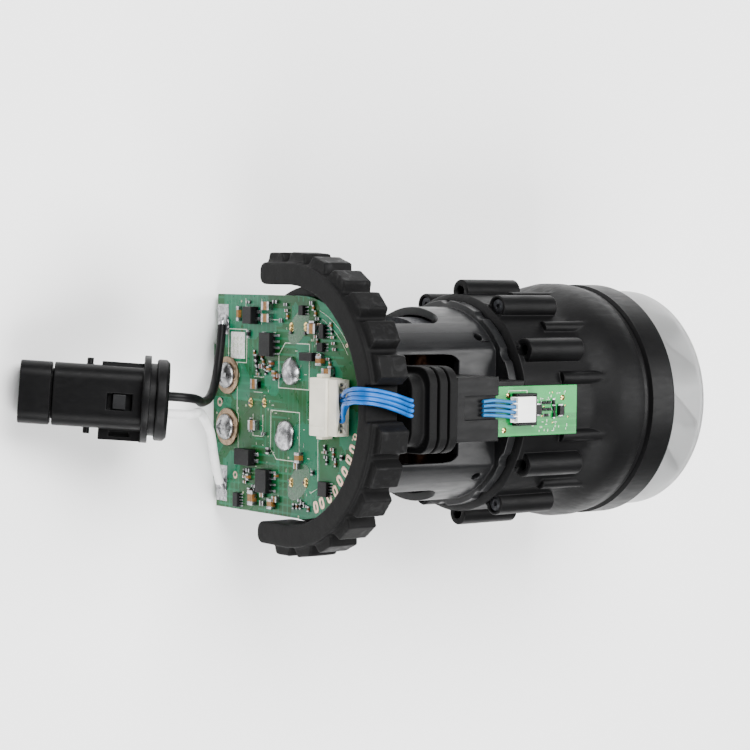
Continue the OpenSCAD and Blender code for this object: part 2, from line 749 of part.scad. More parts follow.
sensor_parts = [[10.9, 0.2, 1.6, 2, 1.1], [17.4, -0.1, 1.3, 2, 1], [12.8, 1.6, 1, 0.6, 0.5],
    [14.2, 1.6, 1, 0.6, 0.5], [15.6, 1.6, 0.6, 1, 0.5], [13, 0.2, 1, 0.6, 0.5], [14.4, 0.2, 1, 0.6, 0.5],
    [13.6, -1, 1, 0.6, 0.5], [15.8, -1, 0.6, 1, 0.5], [15.8, 0.3, 0.6, 1, 0.5]];
module sensor_chips() {
    color("#232426")
        for (p = sensor_parts)
            translate([sensor_x + p[0] - p[2] / 2, sensor_mid + p[1] - p[3] / 2, sensor_z])
                cube([p[2], p[3], p[4]]);
}

// ---- Power plug and leads ----
plug_at = [-24.5, 1.4, -11.4];
plug_pitch = 31.3;
plug_yaw = -4.1;
module at_plug() {
    translate(plug_at) rotate([0, 0, plug_yaw]) rotate([0, -plug_pitch, 0]) children();
}

// A length of the plug's section, from x to x + len
module plug_length(x, len, w, h, r) {
    translate([x, 0, 0]) rotate([90, 0, 90]) linear_extrude(len) round_rect(w, h, r);
}

gland_len = 2.6;
seal_gap_len = 1.2;
flange_len = 1.4;
cap_depth = 6.2;
plug_corner = 3;
body_back = -(gland_len + seal_gap_len);
cap_front = -plug_len + cap_depth;
window_x = -12.2;
window_l = 5;
window_w = 3.4;
window_y = -0.8;
module plug_body() {
    pin_x = -16;
    color("#131314")
        at_plug() difference() {
            union() {
                plug_length(cap_front + 0.5, body_back - cap_front - 0.5, plug_w, plug_h, plug_corner);
                plug_length(-plug_len + 1.4, cap_depth, plug_w - 2.6, plug_h - 2.6, plug_corner - 1);
                translate([body_back - flange_len, 0, 0]) rotate([0, 90, 0])
                    cylinder(r = plug_flange_r, h = flange_len);
                for (s = [-1, 1]) translate([pin_x, s * (plug_w / 2 - 0.5), 0]) rotate([-90 * s, 0, 0])
                    cylinder(d = 1.3, h = 1.8);
                block([-13.6, body_back - 0.5], [plug_w / 2 - 0.6, plug_w / 2 + 0.8], [-1, 2.2]);
                block([-13.6, -5], [-plug_w / 2 - 2.3, -plug_w / 2 + 0.6], [-2.2, 1.4]);
            }
            block([-11.4, -7.4], [-plug_w / 2 - 1.5, -plug_w / 2 - 0.5], [0.6, 3]);
            block([window_x, window_x + window_l], [window_y - window_w / 2, window_y + window_w / 2],
                [plug_h / 2 - 2, plug_h / 2 + 1]);
            for (s = [-1, 1]) translate([-plug_len, s * 2.9, 0]) rotate([0, 90, 0])
                cylinder(d = contact_d + 0.4, h = contact_len + 1);
        }
}

module plug_cap() {
    color("#151516")
        at_plug() difference() {
            plug_length(-plug_len, cap_depth, plug_w, plug_h, plug_corner);
            plug_length(-plug_len + 1.3, cap_depth + 1, plug_w - 2.4, plug_h - 2.4, plug_corner - 1);
            for (s = [-1, 1]) translate([-plug_len - 1, s * 2.9, 0]) rotate([0, 90, 0])
                cylinder(d = contact_d + 0.4, h = 3);
        }
}

contact_d = 3;
contact_len = 14;
module plug_contacts() {
    color("#c8a24a")
        at_plug() for (s = [-1, 1]) translate([-plug_len + 1.5, s * 2.9, 0]) rotate([0, 90, 0])
            difference() {
                cylinder(d = contact_d, h = contact_len - 1);
                translate([0, 0, -1]) cylinder(d = contact_d - 1, h = contact_len - 4);
            }
}

latch_gap = 0.25;
module plug_latch() {
    color("#242426")
        at_plug() block([window_x + 1.2, window_x + 3.7],
            [window_y - window_w / 2 + latch_gap, window_y + window_w / 2 - latch_gap],
            [plug_h / 2 - 2, plug_h / 2 - 0.3]);
}

module plug_seal() {
    color("#0c0c0c")
        at_plug() translate([body_back, 0, 0]) rotate([0, 90, 0])
            cylinder(r = plug_flange_r - 1.5, h = seal_gap_len);
}

module plug_gland() {
    color("#121213")
        at_plug() translate([-gland_len, 0, 0]) rotate([0, 90, 0])
            rotate_extrude() polygon([
                [0, 0], [plug_flange_r - 0.9, 0], [plug_flange_r - 0.6, 0.3], [plug_flange_r - 0.6, 1.9],
                [plug_flange_r - 1.3, gland_len], [0, gland_len]
            ]);
}

// The power leads' routes, from the plug's gland to the soldered ends on the board
black_route = [[-24.7, 2.3, -10.9], [-23.2, 2.2, -10], [-21.3, 2, -9.5], [-19.2, 1.7, -9.9],
    [-17.4, 1.3, -11.2], [-15.8, 0.9, -13], [-14, 0.6, -15.2], [-11.9, 0.6, -17.4], [-9.6, 0.9, -19.5],
    [-7.4, 2, -21.4], [-5.6, 3.9, -23], [-4.2, 6.3, -24.3], [-3.2, 8.9, -25.2], [-2.4, 11.3, -25.9],
    [-1.7, 13.7, -26.6], [-1, 16, -27.4]];
white_route = [[-24.6, -1.2, -11.3], [-23.1, -1.3, -10.5], [-21.2, -1.4, -10], [-19.2, -1.4, -10.4],
    [-17.4, -1.3, -11.7], [-15.8, -1.3, -13.5], [-14, -1.7, -15.5], [-12, -2.6, -17.5],
    [-10, -4, -19.3], [-8.1, -5.9, -20.9], [-6.6, -8.2, -22.4], [-5.2, -10.7, -23.9], [-3.8, -13.1, -25.3],
    [-2.4, -15.3, -26.6], [-1, -17.4, -27.8]];
module black_lead() {
    color("#17171a") tube(black_route, lead_d);
}

module white_lead() {
    color("#e9eaea") tube(white_route, lead_d);
}

// ---- Rotor, bearings and stator ----
shaft_back = stator_x - 3;
module rotor_shaft() {
    r = shaft_d / 2;
    color("#c4c7cb")
        turned([[0, shaft_back], [r - 0.3, shaft_back], [r, shaft_back + 0.3], [r, impeller_front + 1.5],
            [r - 0.3, impeller_front + 1.8], [0, impeller_front + 1.8]]);
}

module rotor_magnet() {
    color("#6f747a") ring(stator_x - 0.5, stator_len + 1, magnet_d / 2, shaft_d / 2);
}

hub_nose = 4.6;
hub_back = 14.6;
function hub_radius(t) = hub_nose + (hub_back - hub_nose) * pow(t, 1.7);
module impeller() {
    blade_reach = impeller_x + 11;
    color("#232427") {
        turned(concat(
            [[shaft_d / 2, impeller_x], [hub_back, impeller_x]],
            [for (k = [0 : 6]) [hub_radius(1 - k / 6), impeller_x + 1 + (impeller_len - 3.5) * k / 6]],
            [[hub_nose - 1.2, impeller_front], [shaft_d / 2, impeller_front]]
        ));
        intersection() {
            turned(concat(
                [[hub_nose - 1, impeller_x + 0.6], [bell_radius(impeller_x + 0.6) - blade_gap, impeller_x + 0.6]],
                [for (k = [1 : 6])
                    let (x = impeller_x + 0.6 + (blade_reach - impeller_x - 0.6) * k / 6)
                    [bell_radius(min(x, throat_x)) - blade_gap, x]],
                [[hub_nose - 1, blade_reach]]
            ));
            for (k = [1 : blade_count]) around(360 / blade_count * k)
                translate([(impeller_x + blade_reach) / 2, 0, 0]) rotate([0, 0, 38])
                    block([-13, 13], [-0.4, 0.4], [hub_nose - 0.5, bell_r]);
        }
    }
}

module bearing(x) {
    inner = shaft_d / 2 + shaft_gap;
    outer = bearing_d / 2;
    third = (outer - inner) / 3;
    color("#a9adb2") {
        ring(x, bearing_w, outer, outer - third);
        ring(x, bearing_w, inner + third, inner);
        ring(x + 0.4, bearing_w - 0.8, outer - third + eps, inner + third - eps);
    }
}

module rear_bearing() {
    bearing(sleeve_x + 0.5);
}

module front_bearing() {
    bearing(sleeve_front - 0.5 - bearing_w);
}

module bearing_sleeve() {
    groove = 0.5;
    inner = bearing_d / 2;
    g1 = sleeve_x + 3;
    g2 = sleeve_front - 4;
    color("#9a9ea4")
        turned([
            [inner, sleeve_x], [sleeve_r, sleeve_x], [sleeve_r, g1], [sleeve_r - groove, g1],
            [sleeve_r - groove, g1 + 1], [sleeve_r, g1 + 1], [sleeve_r, g2], [sleeve_r - groove, g2],
            [sleeve_r - groove, g2 + 1], [sleeve_r, g2 + 1], [sleeve_r, sleeve_front], [inner, sleeve_front]
        ]);
}

module sleeve_rings() {
    color("#0d0d0d")
        for (x = [sleeve_x + 3, sleeve_front - 4]) ring(x, 1, sleeve_r - eps, sleeve_r - 0.5);
}

module preload_spring() {
    start = sleeve_x + 0.5 + bearing_w;
    room = sleeve_len - 1 - 2 * bearing_w;
    spring_wire = 0.8;
    coil_r = bearing_d / 2 - 0.5 - spring_wire / 2;
    turns = 4;
    steps = 12 * turns;
    color("#c7cacd")
        tube([for (k = [0 : steps])
            [start + 0.5 + (room - 1) * k / steps, coil_r * cos(360 * turns * k / steps),
             coil_r * sin(360 * turns * k / steps)]], spring_wire);
}

core_half = 8.6;
arm_z = 7.2;
arm_t = 4;
core_r = can_r - can_wall - 0.4;
former_top = arm_z + arm_t / 2 + 2;
coil_y = [7, sqrt(pow(can_r - can_wall - 0.15, 2) - pow(former_top, 2)) - 0.7];
back_in = coil_y[1] + 0.8;
module core(s) {
    color("#5b5f66")
        difference() {
            plate(stator_x, stator_len) difference() {
                union() {
                    intersection() {
                        circle(r = core_r);
                        translate([s > 0 ? back_in : -core_r, -core_half - 1])
                            square([core_r - back_in, 2 * core_half + 2]);
                    }
                    for (t = [-1, 1])
                        translate([s > 0 ? 1.2 : -back_in - 1, t > 0 ? arm_z - arm_t / 2 : -arm_z - arm_t / 2])
                            square([back_in - 0.2, arm_t]);
                    for (t = [-1, 1])
                        translate([s > 0 ? 0.8 : -4.8, t > 0 ? 3.4 : -6]) square([4, 2.6]);
                }
                circle(r = magnet_d / 2 + air_gap);
            }
        }
}

module upper_core() {
    core(1);
}

module lower_core() {
    core(-1);
}

module at_coils() {
    for (s = [0, 1], t = [0, 1]) mirror([0, s, 0]) mirror([0, 0, t]) children();
}

module coil_formers() {
    gap = 0.1;
    color("#15161a")
        at_coils() difference() {
            union() {
                for (y = [coil_y[0] - 0.8, coil_y[1]])
                    block([stator_x - 3.4, stator_x + stator_len + 1.8], [y, y + 0.7],
                        [arm_z - arm_t / 2 - 1.9, former_top]);
                block([stator_x - 0.8, stator_x + stator_len + 0.8], [coil_y[0] - 0.8, coil_y[1] + 0.5],
                    [arm_z - arm_t / 2 - 0.7, arm_z + arm_t / 2 + 0.7]);
            }
            block([stator_x - gap, stator_x + stator_len + gap], [0, 20],
                [arm_z - arm_t / 2 - gap, arm_z + arm_t / 2 + gap]);
        }
}

module coils() {
    color("#8a4f2a")
        at_coils() difference() {
            translate([0, coil_y[0] + 0.1, 0]) rotate([-90, 0, 0])
                linear_extrude(coil_y[1] - coil_y[0] - 0.3)
                    translate([stator_x + stator_len / 2 - 0.8, -arm_z])
                        round_rect(stator_len + 4.6, arm_t + 3.4, 1.6);
            block([stator_x - 0.9, stator_x + stator_len + 0.9], [0, 20],
                [arm_z - arm_t / 2 - 0.8, arm_z + arm_t / 2 + 0.8]);
        }
}

module frame_screws() {
    color("#8f9398")
        for (a = screw_angles) around(a)
            translate([boss_x + head_sink - screw_head, 0, boss_ring]) rotate([0, 90, 0]) difference() {
                union() {
                    cylinder(d = 3.3, h = screw_head);
                    cylinder(d = 2.1, h = screw_len);
                }
                translate([0, 0, -0.5]) cylinder(d = 1.5, h = 1, $fn = 6);
            }
}

motor_frame();
front_frame();
diffuser();
front_seal();
inlet_shroud();
rear_mount();
board_carrier();
control_board();
terminal_screws();
terminal_washers();
driver_chips();
logic_chips();
power_diodes();
ceramic_capacitors();
bulk_capacitors();
coil_terminals();
board_header();
board_plug();
sensor_wire(0);  // sensor_wire_1
sensor_wire(1);  // sensor_wire_2
sensor_wire(2);  // sensor_wire_3
sensor_wire(3);  // sensor_wire_4
wire_grommet();
sensor_bracket();
sensor_board();
sensor_header();
sensor_plug();
sensor_tails();
sensor_chips();
black_lead();
white_lead();
plug_body();
plug_cap();
plug_gland();
plug_seal();
plug_contacts();
plug_latch();
rotor_shaft();
rotor_magnet();
impeller();
rear_bearing();
front_bearing();
bearing_sleeve();
preload_spring();
sleeve_rings();
upper_core();
lower_core();
coil_formers();
coils();
frame_screws();
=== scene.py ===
"""Looks of a vacuum fan motor module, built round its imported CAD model, in metres in the same frame."""
import math
import random

import bmesh
import bpy
from mathutils import Matrix, Vector


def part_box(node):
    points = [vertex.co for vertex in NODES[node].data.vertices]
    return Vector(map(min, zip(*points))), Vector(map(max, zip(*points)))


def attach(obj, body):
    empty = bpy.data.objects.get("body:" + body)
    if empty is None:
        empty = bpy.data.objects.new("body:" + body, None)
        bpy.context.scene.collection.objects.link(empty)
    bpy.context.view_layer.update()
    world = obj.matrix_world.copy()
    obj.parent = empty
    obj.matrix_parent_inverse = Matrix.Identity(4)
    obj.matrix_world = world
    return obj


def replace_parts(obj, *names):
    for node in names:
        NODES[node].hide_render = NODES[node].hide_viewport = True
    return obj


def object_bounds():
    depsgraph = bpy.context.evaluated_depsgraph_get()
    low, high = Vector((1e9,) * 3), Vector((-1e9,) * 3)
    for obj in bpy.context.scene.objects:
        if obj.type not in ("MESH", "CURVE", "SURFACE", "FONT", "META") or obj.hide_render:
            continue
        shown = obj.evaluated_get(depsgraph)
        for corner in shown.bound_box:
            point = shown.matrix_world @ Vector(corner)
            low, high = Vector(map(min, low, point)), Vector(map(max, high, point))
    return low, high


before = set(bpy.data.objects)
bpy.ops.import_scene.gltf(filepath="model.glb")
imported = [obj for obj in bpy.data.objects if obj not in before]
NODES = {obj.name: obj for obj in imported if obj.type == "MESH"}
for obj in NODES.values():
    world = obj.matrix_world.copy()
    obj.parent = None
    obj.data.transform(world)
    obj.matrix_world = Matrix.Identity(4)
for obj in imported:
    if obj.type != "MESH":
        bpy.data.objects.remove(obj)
CAD_LOW, CAD_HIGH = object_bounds()

bl_info = {
    "name": "Fan Motor Module",
    "version": (1, 0, 0),
    "blender": (4, 5, 0),
    "location": "3D View > Sidebar > Fan Motor",
    "description": "Builds the board, wiring, rubber, frames and plug of a fan motor module",
    "category": "Object",
}

MM = 0.001
SOCKET_WALL = 0.6 * MM
CAMERA_PLACE = (-0.26273, 0.02666, 0.36479)
CAMERA_RIGHT = Vector((0.79145, 0.01202, 0.61112))
CAMERA_UP = Vector((0.01747, 0.99895, -0.04228))
CAMERA_LENS = 105.84
HOUSING = "housing"
BOARD_LOW, BOARD_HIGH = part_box("control_board")
BOARD_R = BOARD_HIGH.y
SENSOR_LOW, SENSOR_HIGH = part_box("sensor_board")
MOUNT_LOW, MOUNT_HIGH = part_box("rear_mount")

# The power leads' routes in metres, from the plug's gland to the soldered ends on the board
BLACK_ROUTE = [
    (-0.0247, 0.0023, -0.0109), (-0.0232, 0.0022, -0.0100), (-0.0213, 0.0020, -0.0095),
    (-0.0192, 0.0017, -0.0099), (-0.0174, 0.0013, -0.0112), (-0.0158, 0.0009, -0.0130),
    (-0.0140, 0.0006, -0.0152), (-0.0119, 0.0006, -0.0174), (-0.0096, 0.0009, -0.0195),
    (-0.0074, 0.0020, -0.0214), (-0.0056, 0.0039, -0.0230), (-0.0042, 0.0063, -0.0243),
    (-0.0032, 0.0089, -0.0252), (-0.0024, 0.0113, -0.0259), (-0.0017, 0.0137, -0.0266),
    (-0.0010, 0.0160, -0.0274),
]
WHITE_ROUTE = [
    (-0.0246, -0.0012, -0.0113), (-0.0231, -0.0013, -0.0105), (-0.0212, -0.0014, -0.0100),
    (-0.0192, -0.0014, -0.0104), (-0.0174, -0.0013, -0.0117), (-0.0158, -0.0013, -0.0135),
    (-0.0140, -0.0017, -0.0155), (-0.0120, -0.0026, -0.0175), (-0.0100, -0.0040, -0.0193),
    (-0.0081, -0.0059, -0.0209), (-0.0066, -0.0082, -0.0224), (-0.0052, -0.0107, -0.0239),
    (-0.0038, -0.0131, -0.0253), (-0.0024, -0.0153, -0.0266), (-0.0010, -0.0174, -0.0278),
]


# ---- Sizes and colours ----
def length_setting(name, about, default, low, high):
    return bpy.props.FloatProperty(
        name=name, description=about, default=default, min=low, max=high, unit="LENGTH", precision=5)


def colour_setting(name, about, default):
    return bpy.props.FloatVectorProperty(
        name=name, description=about, default=default, min=0, max=1, size=3, subtype="COLOR")


class ModuleSizes(bpy.types.PropertyGroup):
    """Sizes of the looks, in metres"""
    lead_d: length_setting("Lead diameter", "Diameter of the two power leads", 0.0019, 0.001, 0.003)
    wire_d: length_setting("Wire diameter", "Diameter of each sensor wire", 0.00086, 0.0005, 0.001)
    rubber_round: length_setting(
        "Rubber rounding", "Roundness of the rubber mount's edges", 0.00026, 0.0001, 0.0006)
    edge_round: length_setting("Edge rounding", "Roundness of moulded edges", 0.00016, 0.00005, 0.0005)
    silk_w: length_setting("Print width", "Width of the printed lines on the boards", 0.00016, 0.0001, 0.0004)


class ModuleColours(bpy.types.PropertyGroup):
    """Colours of the looks"""
    frame_black: colour_setting("Front frame", "Moulded front frame", (0.0028, 0.0028, 0.003))
    frame_grey: colour_setting("Motor frame", "Moulded motor frame", (0.007, 0.0072, 0.0078))
    rubber: colour_setting("Rubber", "Rubber mount and grommet", (0.003, 0.003, 0.0031))
    shroud: colour_setting("Shroud", "Frosted air inlet", (0.50, 0.505, 0.505))
    board: colour_setting("Board", "Solder mask over bare board", (0.0015, 0.12, 0.055))
    board_copper: colour_setting("Board copper", "Solder mask over copper", (0.0008, 0.06, 0.006))
    sensor: colour_setting("Sensor board", "Solder mask of the sensor board", (0.002, 0.16, 0.032))
    cream: colour_setting("Cream nylon", "Connector on the control board", (0.83, 0.79, 0.66))
    wire_blue: colour_setting("Wire blue", "Sensor wires", (0.002, 0.085, 0.33))


def sizes():
    return bpy.context.scene.fan_motor_sizes


def colours():
    return bpy.context.scene.fan_motor_colours


# ---- Finishes ----
def start_finish(name, roughness, metallic=0.0):
    material = bpy.data.materials.new(name)
    material.use_nodes = True
    tree = material.node_tree
    shader = tree.nodes["Principled BSDF"]
    shader.inputs["Roughness"].default_value = roughness
    shader.inputs["Metallic"].default_value = metallic
    return material, tree, shader


def feed(shader, name, value):
    """Drives one of the shader's sockets with a value."""
    shader.id_data.links.new(value, shader.inputs[name])


def surface_place(tree):
    return tree.nodes.new("ShaderNodeTexCoord").outputs["Object"]


def stretched(tree, place, stretch):
    mapping = tree.nodes.new("ShaderNodeMapping")
    mapping.inputs["Scale"].default_value = stretch
    tree.links.new(place, mapping.inputs["Vector"])
    return mapping.outputs["Vector"]


def cloud(tree, place, size, detail=3.0, distortion=0.0):
    noise = tree.nodes.new("ShaderNodeTexNoise")
    noise.inputs["Scale"].default_value = 1 / size
    noise.inputs["Detail"].default_value = detail
    noise.inputs["Distortion"].default_value = distortion
    tree.links.new(place, noise.inputs["Vector"])
    return noise.outputs["Fac"]


def cells(tree, place, size, output="Distance", square=False, randomness=1.0):
    voronoi = tree.nodes.new("ShaderNodeTexVoronoi")
    voronoi.inputs["Scale"].default_value = 1 / size
    voronoi.inputs["Randomness"].default_value = randomness
    if square:
        voronoi.distance = "CHEBYCHEV"
    tree.links.new(place, voronoi.inputs["Vector"])
    return voronoi.outputs[output]


def scaled(tree, value, low, high, to_low=0.0, to_high=1.0):
    node = tree.nodes.new("ShaderNodeMapRange")
    node.inputs["From Min"].default_value = low
    node.inputs["From Max"].default_value = high
    node.inputs["To Min"].default_value = to_low
    node.inputs["To Max"].default_value = to_high
    tree.links.new(value, node.inputs["Value"])
    return node.outputs["Result"]


def times(tree, first, second, operation="MULTIPLY"):
    node = tree.nodes.new("ShaderNodeMath")
    node.operation = operation
    tree.links.new(first, node.inputs[0])
    if isinstance(second, (int, float)):
        node.inputs[1].default_value = second
    else:
        tree.links.new(second, node.inputs[1])
    return node.outputs[0]


def mixed(tree, factor, first, second):
    """A colour between two; each is a colour or a socket."""
    node = tree.nodes.new("ShaderNodeMix")
    node.data_type = "RGBA"
    tree.links.new(factor, node.inputs["Factor"])
    for socket, colour in zip((node.inputs[6], node.inputs[7]), (first, second)):
        if isinstance(colour, bpy.types.NodeSocket):
            tree.links.new(colour, socket)
        else:
            socket.default_value = (*colour, 1)
    return node.outputs[2]


def relief(tree, shader, height, depth, strength=1.0):
    bump = tree.nodes.new("ShaderNodeBump")
    bump.inputs["Strength"].default_value = strength
    bump.inputs["Distance"].default_value = depth
    tree.links.new(height, bump.inputs["Height"])
    feed(shader, "Normal", bump.outputs["Normal"])


def shade(colour, factor):
    return tuple(min(1.0, c * factor) for c in colour)


def moulded(name, colour, roughness, texture_size=0.0003, depth=0.00001, worn=1.6, coat=0.0, shine=0.5):
    """Moulded plastic: fine spark texture, slow change of tone, faint rubbed streaks."""
    material, tree, shader = start_finish(name, roughness)
    place = surface_place(tree)
    slow = cloud(tree, place, 0.012, 4)
    streaks = cloud(tree, stretched(tree, place, (0.25, 1, 1)), 0.0011, 5, 0.6)
    tone = mixed(tree, scaled(tree, slow, 0.35, 0.65), shade(colour, 0.8), shade(colour, 1.15))
    rubbed = scaled(tree, streaks, 0.60, 0.78)
    feed(shader, "Base Color", mixed(tree, rubbed, tone, shade(colour, worn)))
    gloss = scaled(tree, streaks, 0.3, 0.75, roughness + 0.07, max(roughness - 0.08, 0.05))
    feed(shader, "Roughness", gloss)
    relief(tree, shader, cloud(tree, place, texture_size, 2), depth)
    shader.inputs["Specular IOR Level"].default_value = shine
    shader.inputs["Coat Weight"].default_value = coat
    shader.inputs["Coat Roughness"].default_value = 0.25
    return material


def rubber_finish():
    """Mould rubber, scuffed and slightly shiny where the ribs rub."""
    base = tuple(colours().rubber)
    material, tree, shader = start_finish("scuffed_rubber", 0.62)
    place = surface_place(tree)
    split = tree.nodes.new("ShaderNodeSeparateXYZ")
    tree.links.new(place, split.inputs["Vector"])
    radius = times(tree, times(tree, times(tree, split.outputs["Y"], split.outputs["Y"]),
                               times(tree, split.outputs["Z"], split.outputs["Z"]), "ADD"), 0.5, "POWER")
    reach = (MOUNT_HIGH.y - MOUNT_LOW.y) / 2
    outer = scaled(tree, radius, reach - 0.0012, reach)
    patches = scaled(tree, cloud(tree, place, 0.0022, 6, 1.2), 0.5, 0.66)
    specks = scaled(tree, cloud(tree, place, 0.00045, 4), 0.58, 0.72)
    scuffs = times(tree, times(tree, patches, outer), 0.55)
    dust = times(tree, specks, 0.3)
    tone = mixed(tree, dust, base, shade(base, 2.6))
    feed(shader, "Base Color", mixed(tree, scuffs, tone, shade(base, 4.5)))
    feed(shader, "Roughness", scaled(tree, scuffs, 0.0, 0.8, 0.60, 0.34))
    shader.inputs["Specular IOR Level"].default_value = 0.1
    relief(tree, shader, cloud(tree, place, 0.0006, 5), 0.00004)
    return material


def shroud_finish():
    """Frosted clear plastic of the air inlet."""
    base = tuple(colours().shroud)
    material, tree, shader = start_finish("frosted_clear", 0.34)
    place = surface_place(tree)
    haze = cloud(tree, place, 0.006, 5)
    feed(shader, "Base Color", mixed(tree, scaled(tree, haze, 0.3, 0.7), shade(base, 0.93), base))
    feed(shader, "Roughness", scaled(tree, haze, 0.3, 0.7, 0.30, 0.42))
    shader.inputs["Transmission Weight"].default_value = 0.8
    shader.inputs["IOR"].default_value = 1.3
    relief(tree, shader, cloud(tree, place, 0.0008, 3), 0.00001)
    return material


def board_finish(name, bare, copper, patch, tracks):
    """Solder mask: squared areas of copper under it, fine tracks, small plated holes."""
    material, tree, shader = start_finish(name, 0.30)
    place = surface_place(tree)
    flat = stretched(tree, place, (0.0, 1, 1))
    areas = cells(tree, flat, patch, "Color", square=True, randomness=0.85)
    split = tree.nodes.new("ShaderNodeSeparateColor")
    tree.links.new(areas, split.inputs["Color"])
    poured = scaled(tree, split.outputs["Red"], 0.42, 0.46)
    tone = mixed(tree, poured, bare, copper)
    for direction, channel in (("Y", "Green"), ("Z", "Blue")):
        wave = tree.nodes.new("ShaderNodeTexWave")
        wave.bands_direction = direction
        wave.inputs["Scale"].default_value = 1 / tracks
        tree.links.new(flat, wave.inputs["Vector"])
        line = scaled(tree, wave.outputs["Fac"], 0.80, 0.88)
        where = scaled(tree, split.outputs[channel], 0.62, 0.66)
        tone = mixed(tree, times(tree, times(tree, line, where), 0.45), tone, shade(bare, 1.7))
    holes = scaled(tree, cells(tree, flat, 0.0034), 0.085, 0.065)
    tone = mixed(tree, holes, tone, (0.42, 0.45, 0.30))
    tint = scaled(tree, cloud(tree, flat, 0.007, 3), 0.4, 0.65, 0.0, 0.35)
    feed(shader, "Base Color", mixed(tree, tint, tone, shade(bare, 1.25)))
    feed(shader, "Roughness", scaled(tree, cloud(tree, place, 0.002, 4), 0.3, 0.7, 0.24, 0.40))
    relief(tree, shader, poured, 0.00002, 0.6)
    shader.inputs["Specular IOR Level"].default_value = 0.2
    shader.inputs["Coat Weight"].default_value = 0.08
    shader.inputs["Coat Roughness"].default_value = 0.2
    return material


def metal(name, colour, roughness, stain=0.7, size=0.0009, depth=0.00001):
    """Metal with soft stains and fine unevenness."""
    material, tree, shader = start_finish(name, roughness, 1.0)
    place = surface_place(tree)
    stains = cloud(tree, place, size, 5, 0.4)
    feed(shader, "Base Color", mixed(tree, scaled(tree, stains, 0.35, 0.7), colour, shade(colour, stain)))
    feed(shader, "Roughness", scaled(tree, stains, 0.3, 0.7, roughness * 0.75, roughness * 1.4))
    relief(tree, shader, cloud(tree, place, size * 0.4, 3), depth)
    return material


def fired(name, colour, roughness=0.4):
    """Fired or moulded small part: speckled, slightly glossy."""
    material, tree, shader = start_finish(name, roughness)
    place = surface_place(tree)
    specks = cloud(tree, place, 0.0003, 4)
    speckled = scaled(tree, specks, 0.35, 0.65)
    feed(shader, "Base Color", mixed(tree, speckled, shade(colour, 0.75), shade(colour, 1.2)))
    feed(shader, "Roughness", scaled(tree, specks, 0.3, 0.7, roughness + 0.06, roughness - 0.06))
    relief(tree, shader, specks, 0.000006)
    shader.inputs["Specular IOR Level"].default_value = 0.2
    return material


def sheath(name, colour, roughness=0.34, worn=1.35, shine=0.3):
    """Wire insulation: a little uneven in tone along its length."""
    material, tree, shader = start_finish(name, roughness)
    place = surface_place(tree)
    slow = cloud(tree, place, 0.003, 4)
    change = scaled(tree, slow, 0.35, 0.65)
    feed(shader, "Base Color", mixed(tree, change, shade(colour, 0.85), shade(colour, worn)))
    feed(shader, "Roughness", scaled(tree, slow, 0.3, 0.7, roughness - 0.05, roughness + 0.08))
    relief(tree, shader, cloud(tree, place, 0.0004, 3), 0.000008)
    shader.inputs["Specular IOR Level"].default_value = shine
    shader.inputs["Coat Weight"].default_value = 0.05
    shader.inputs["Coat Roughness"].default_value = 0.3
    return material


def floor_finish():
    material, tree, shader = start_finish("pale_floor", 0.75)
    place = surface_place(tree)
    dull, bright = (0.93, 0.93, 0.93), (0.95, 0.95, 0.95)
    feed(shader, "Base Color", mixed(tree, cloud(tree, place, 0.05, 3), dull, bright))
    return material


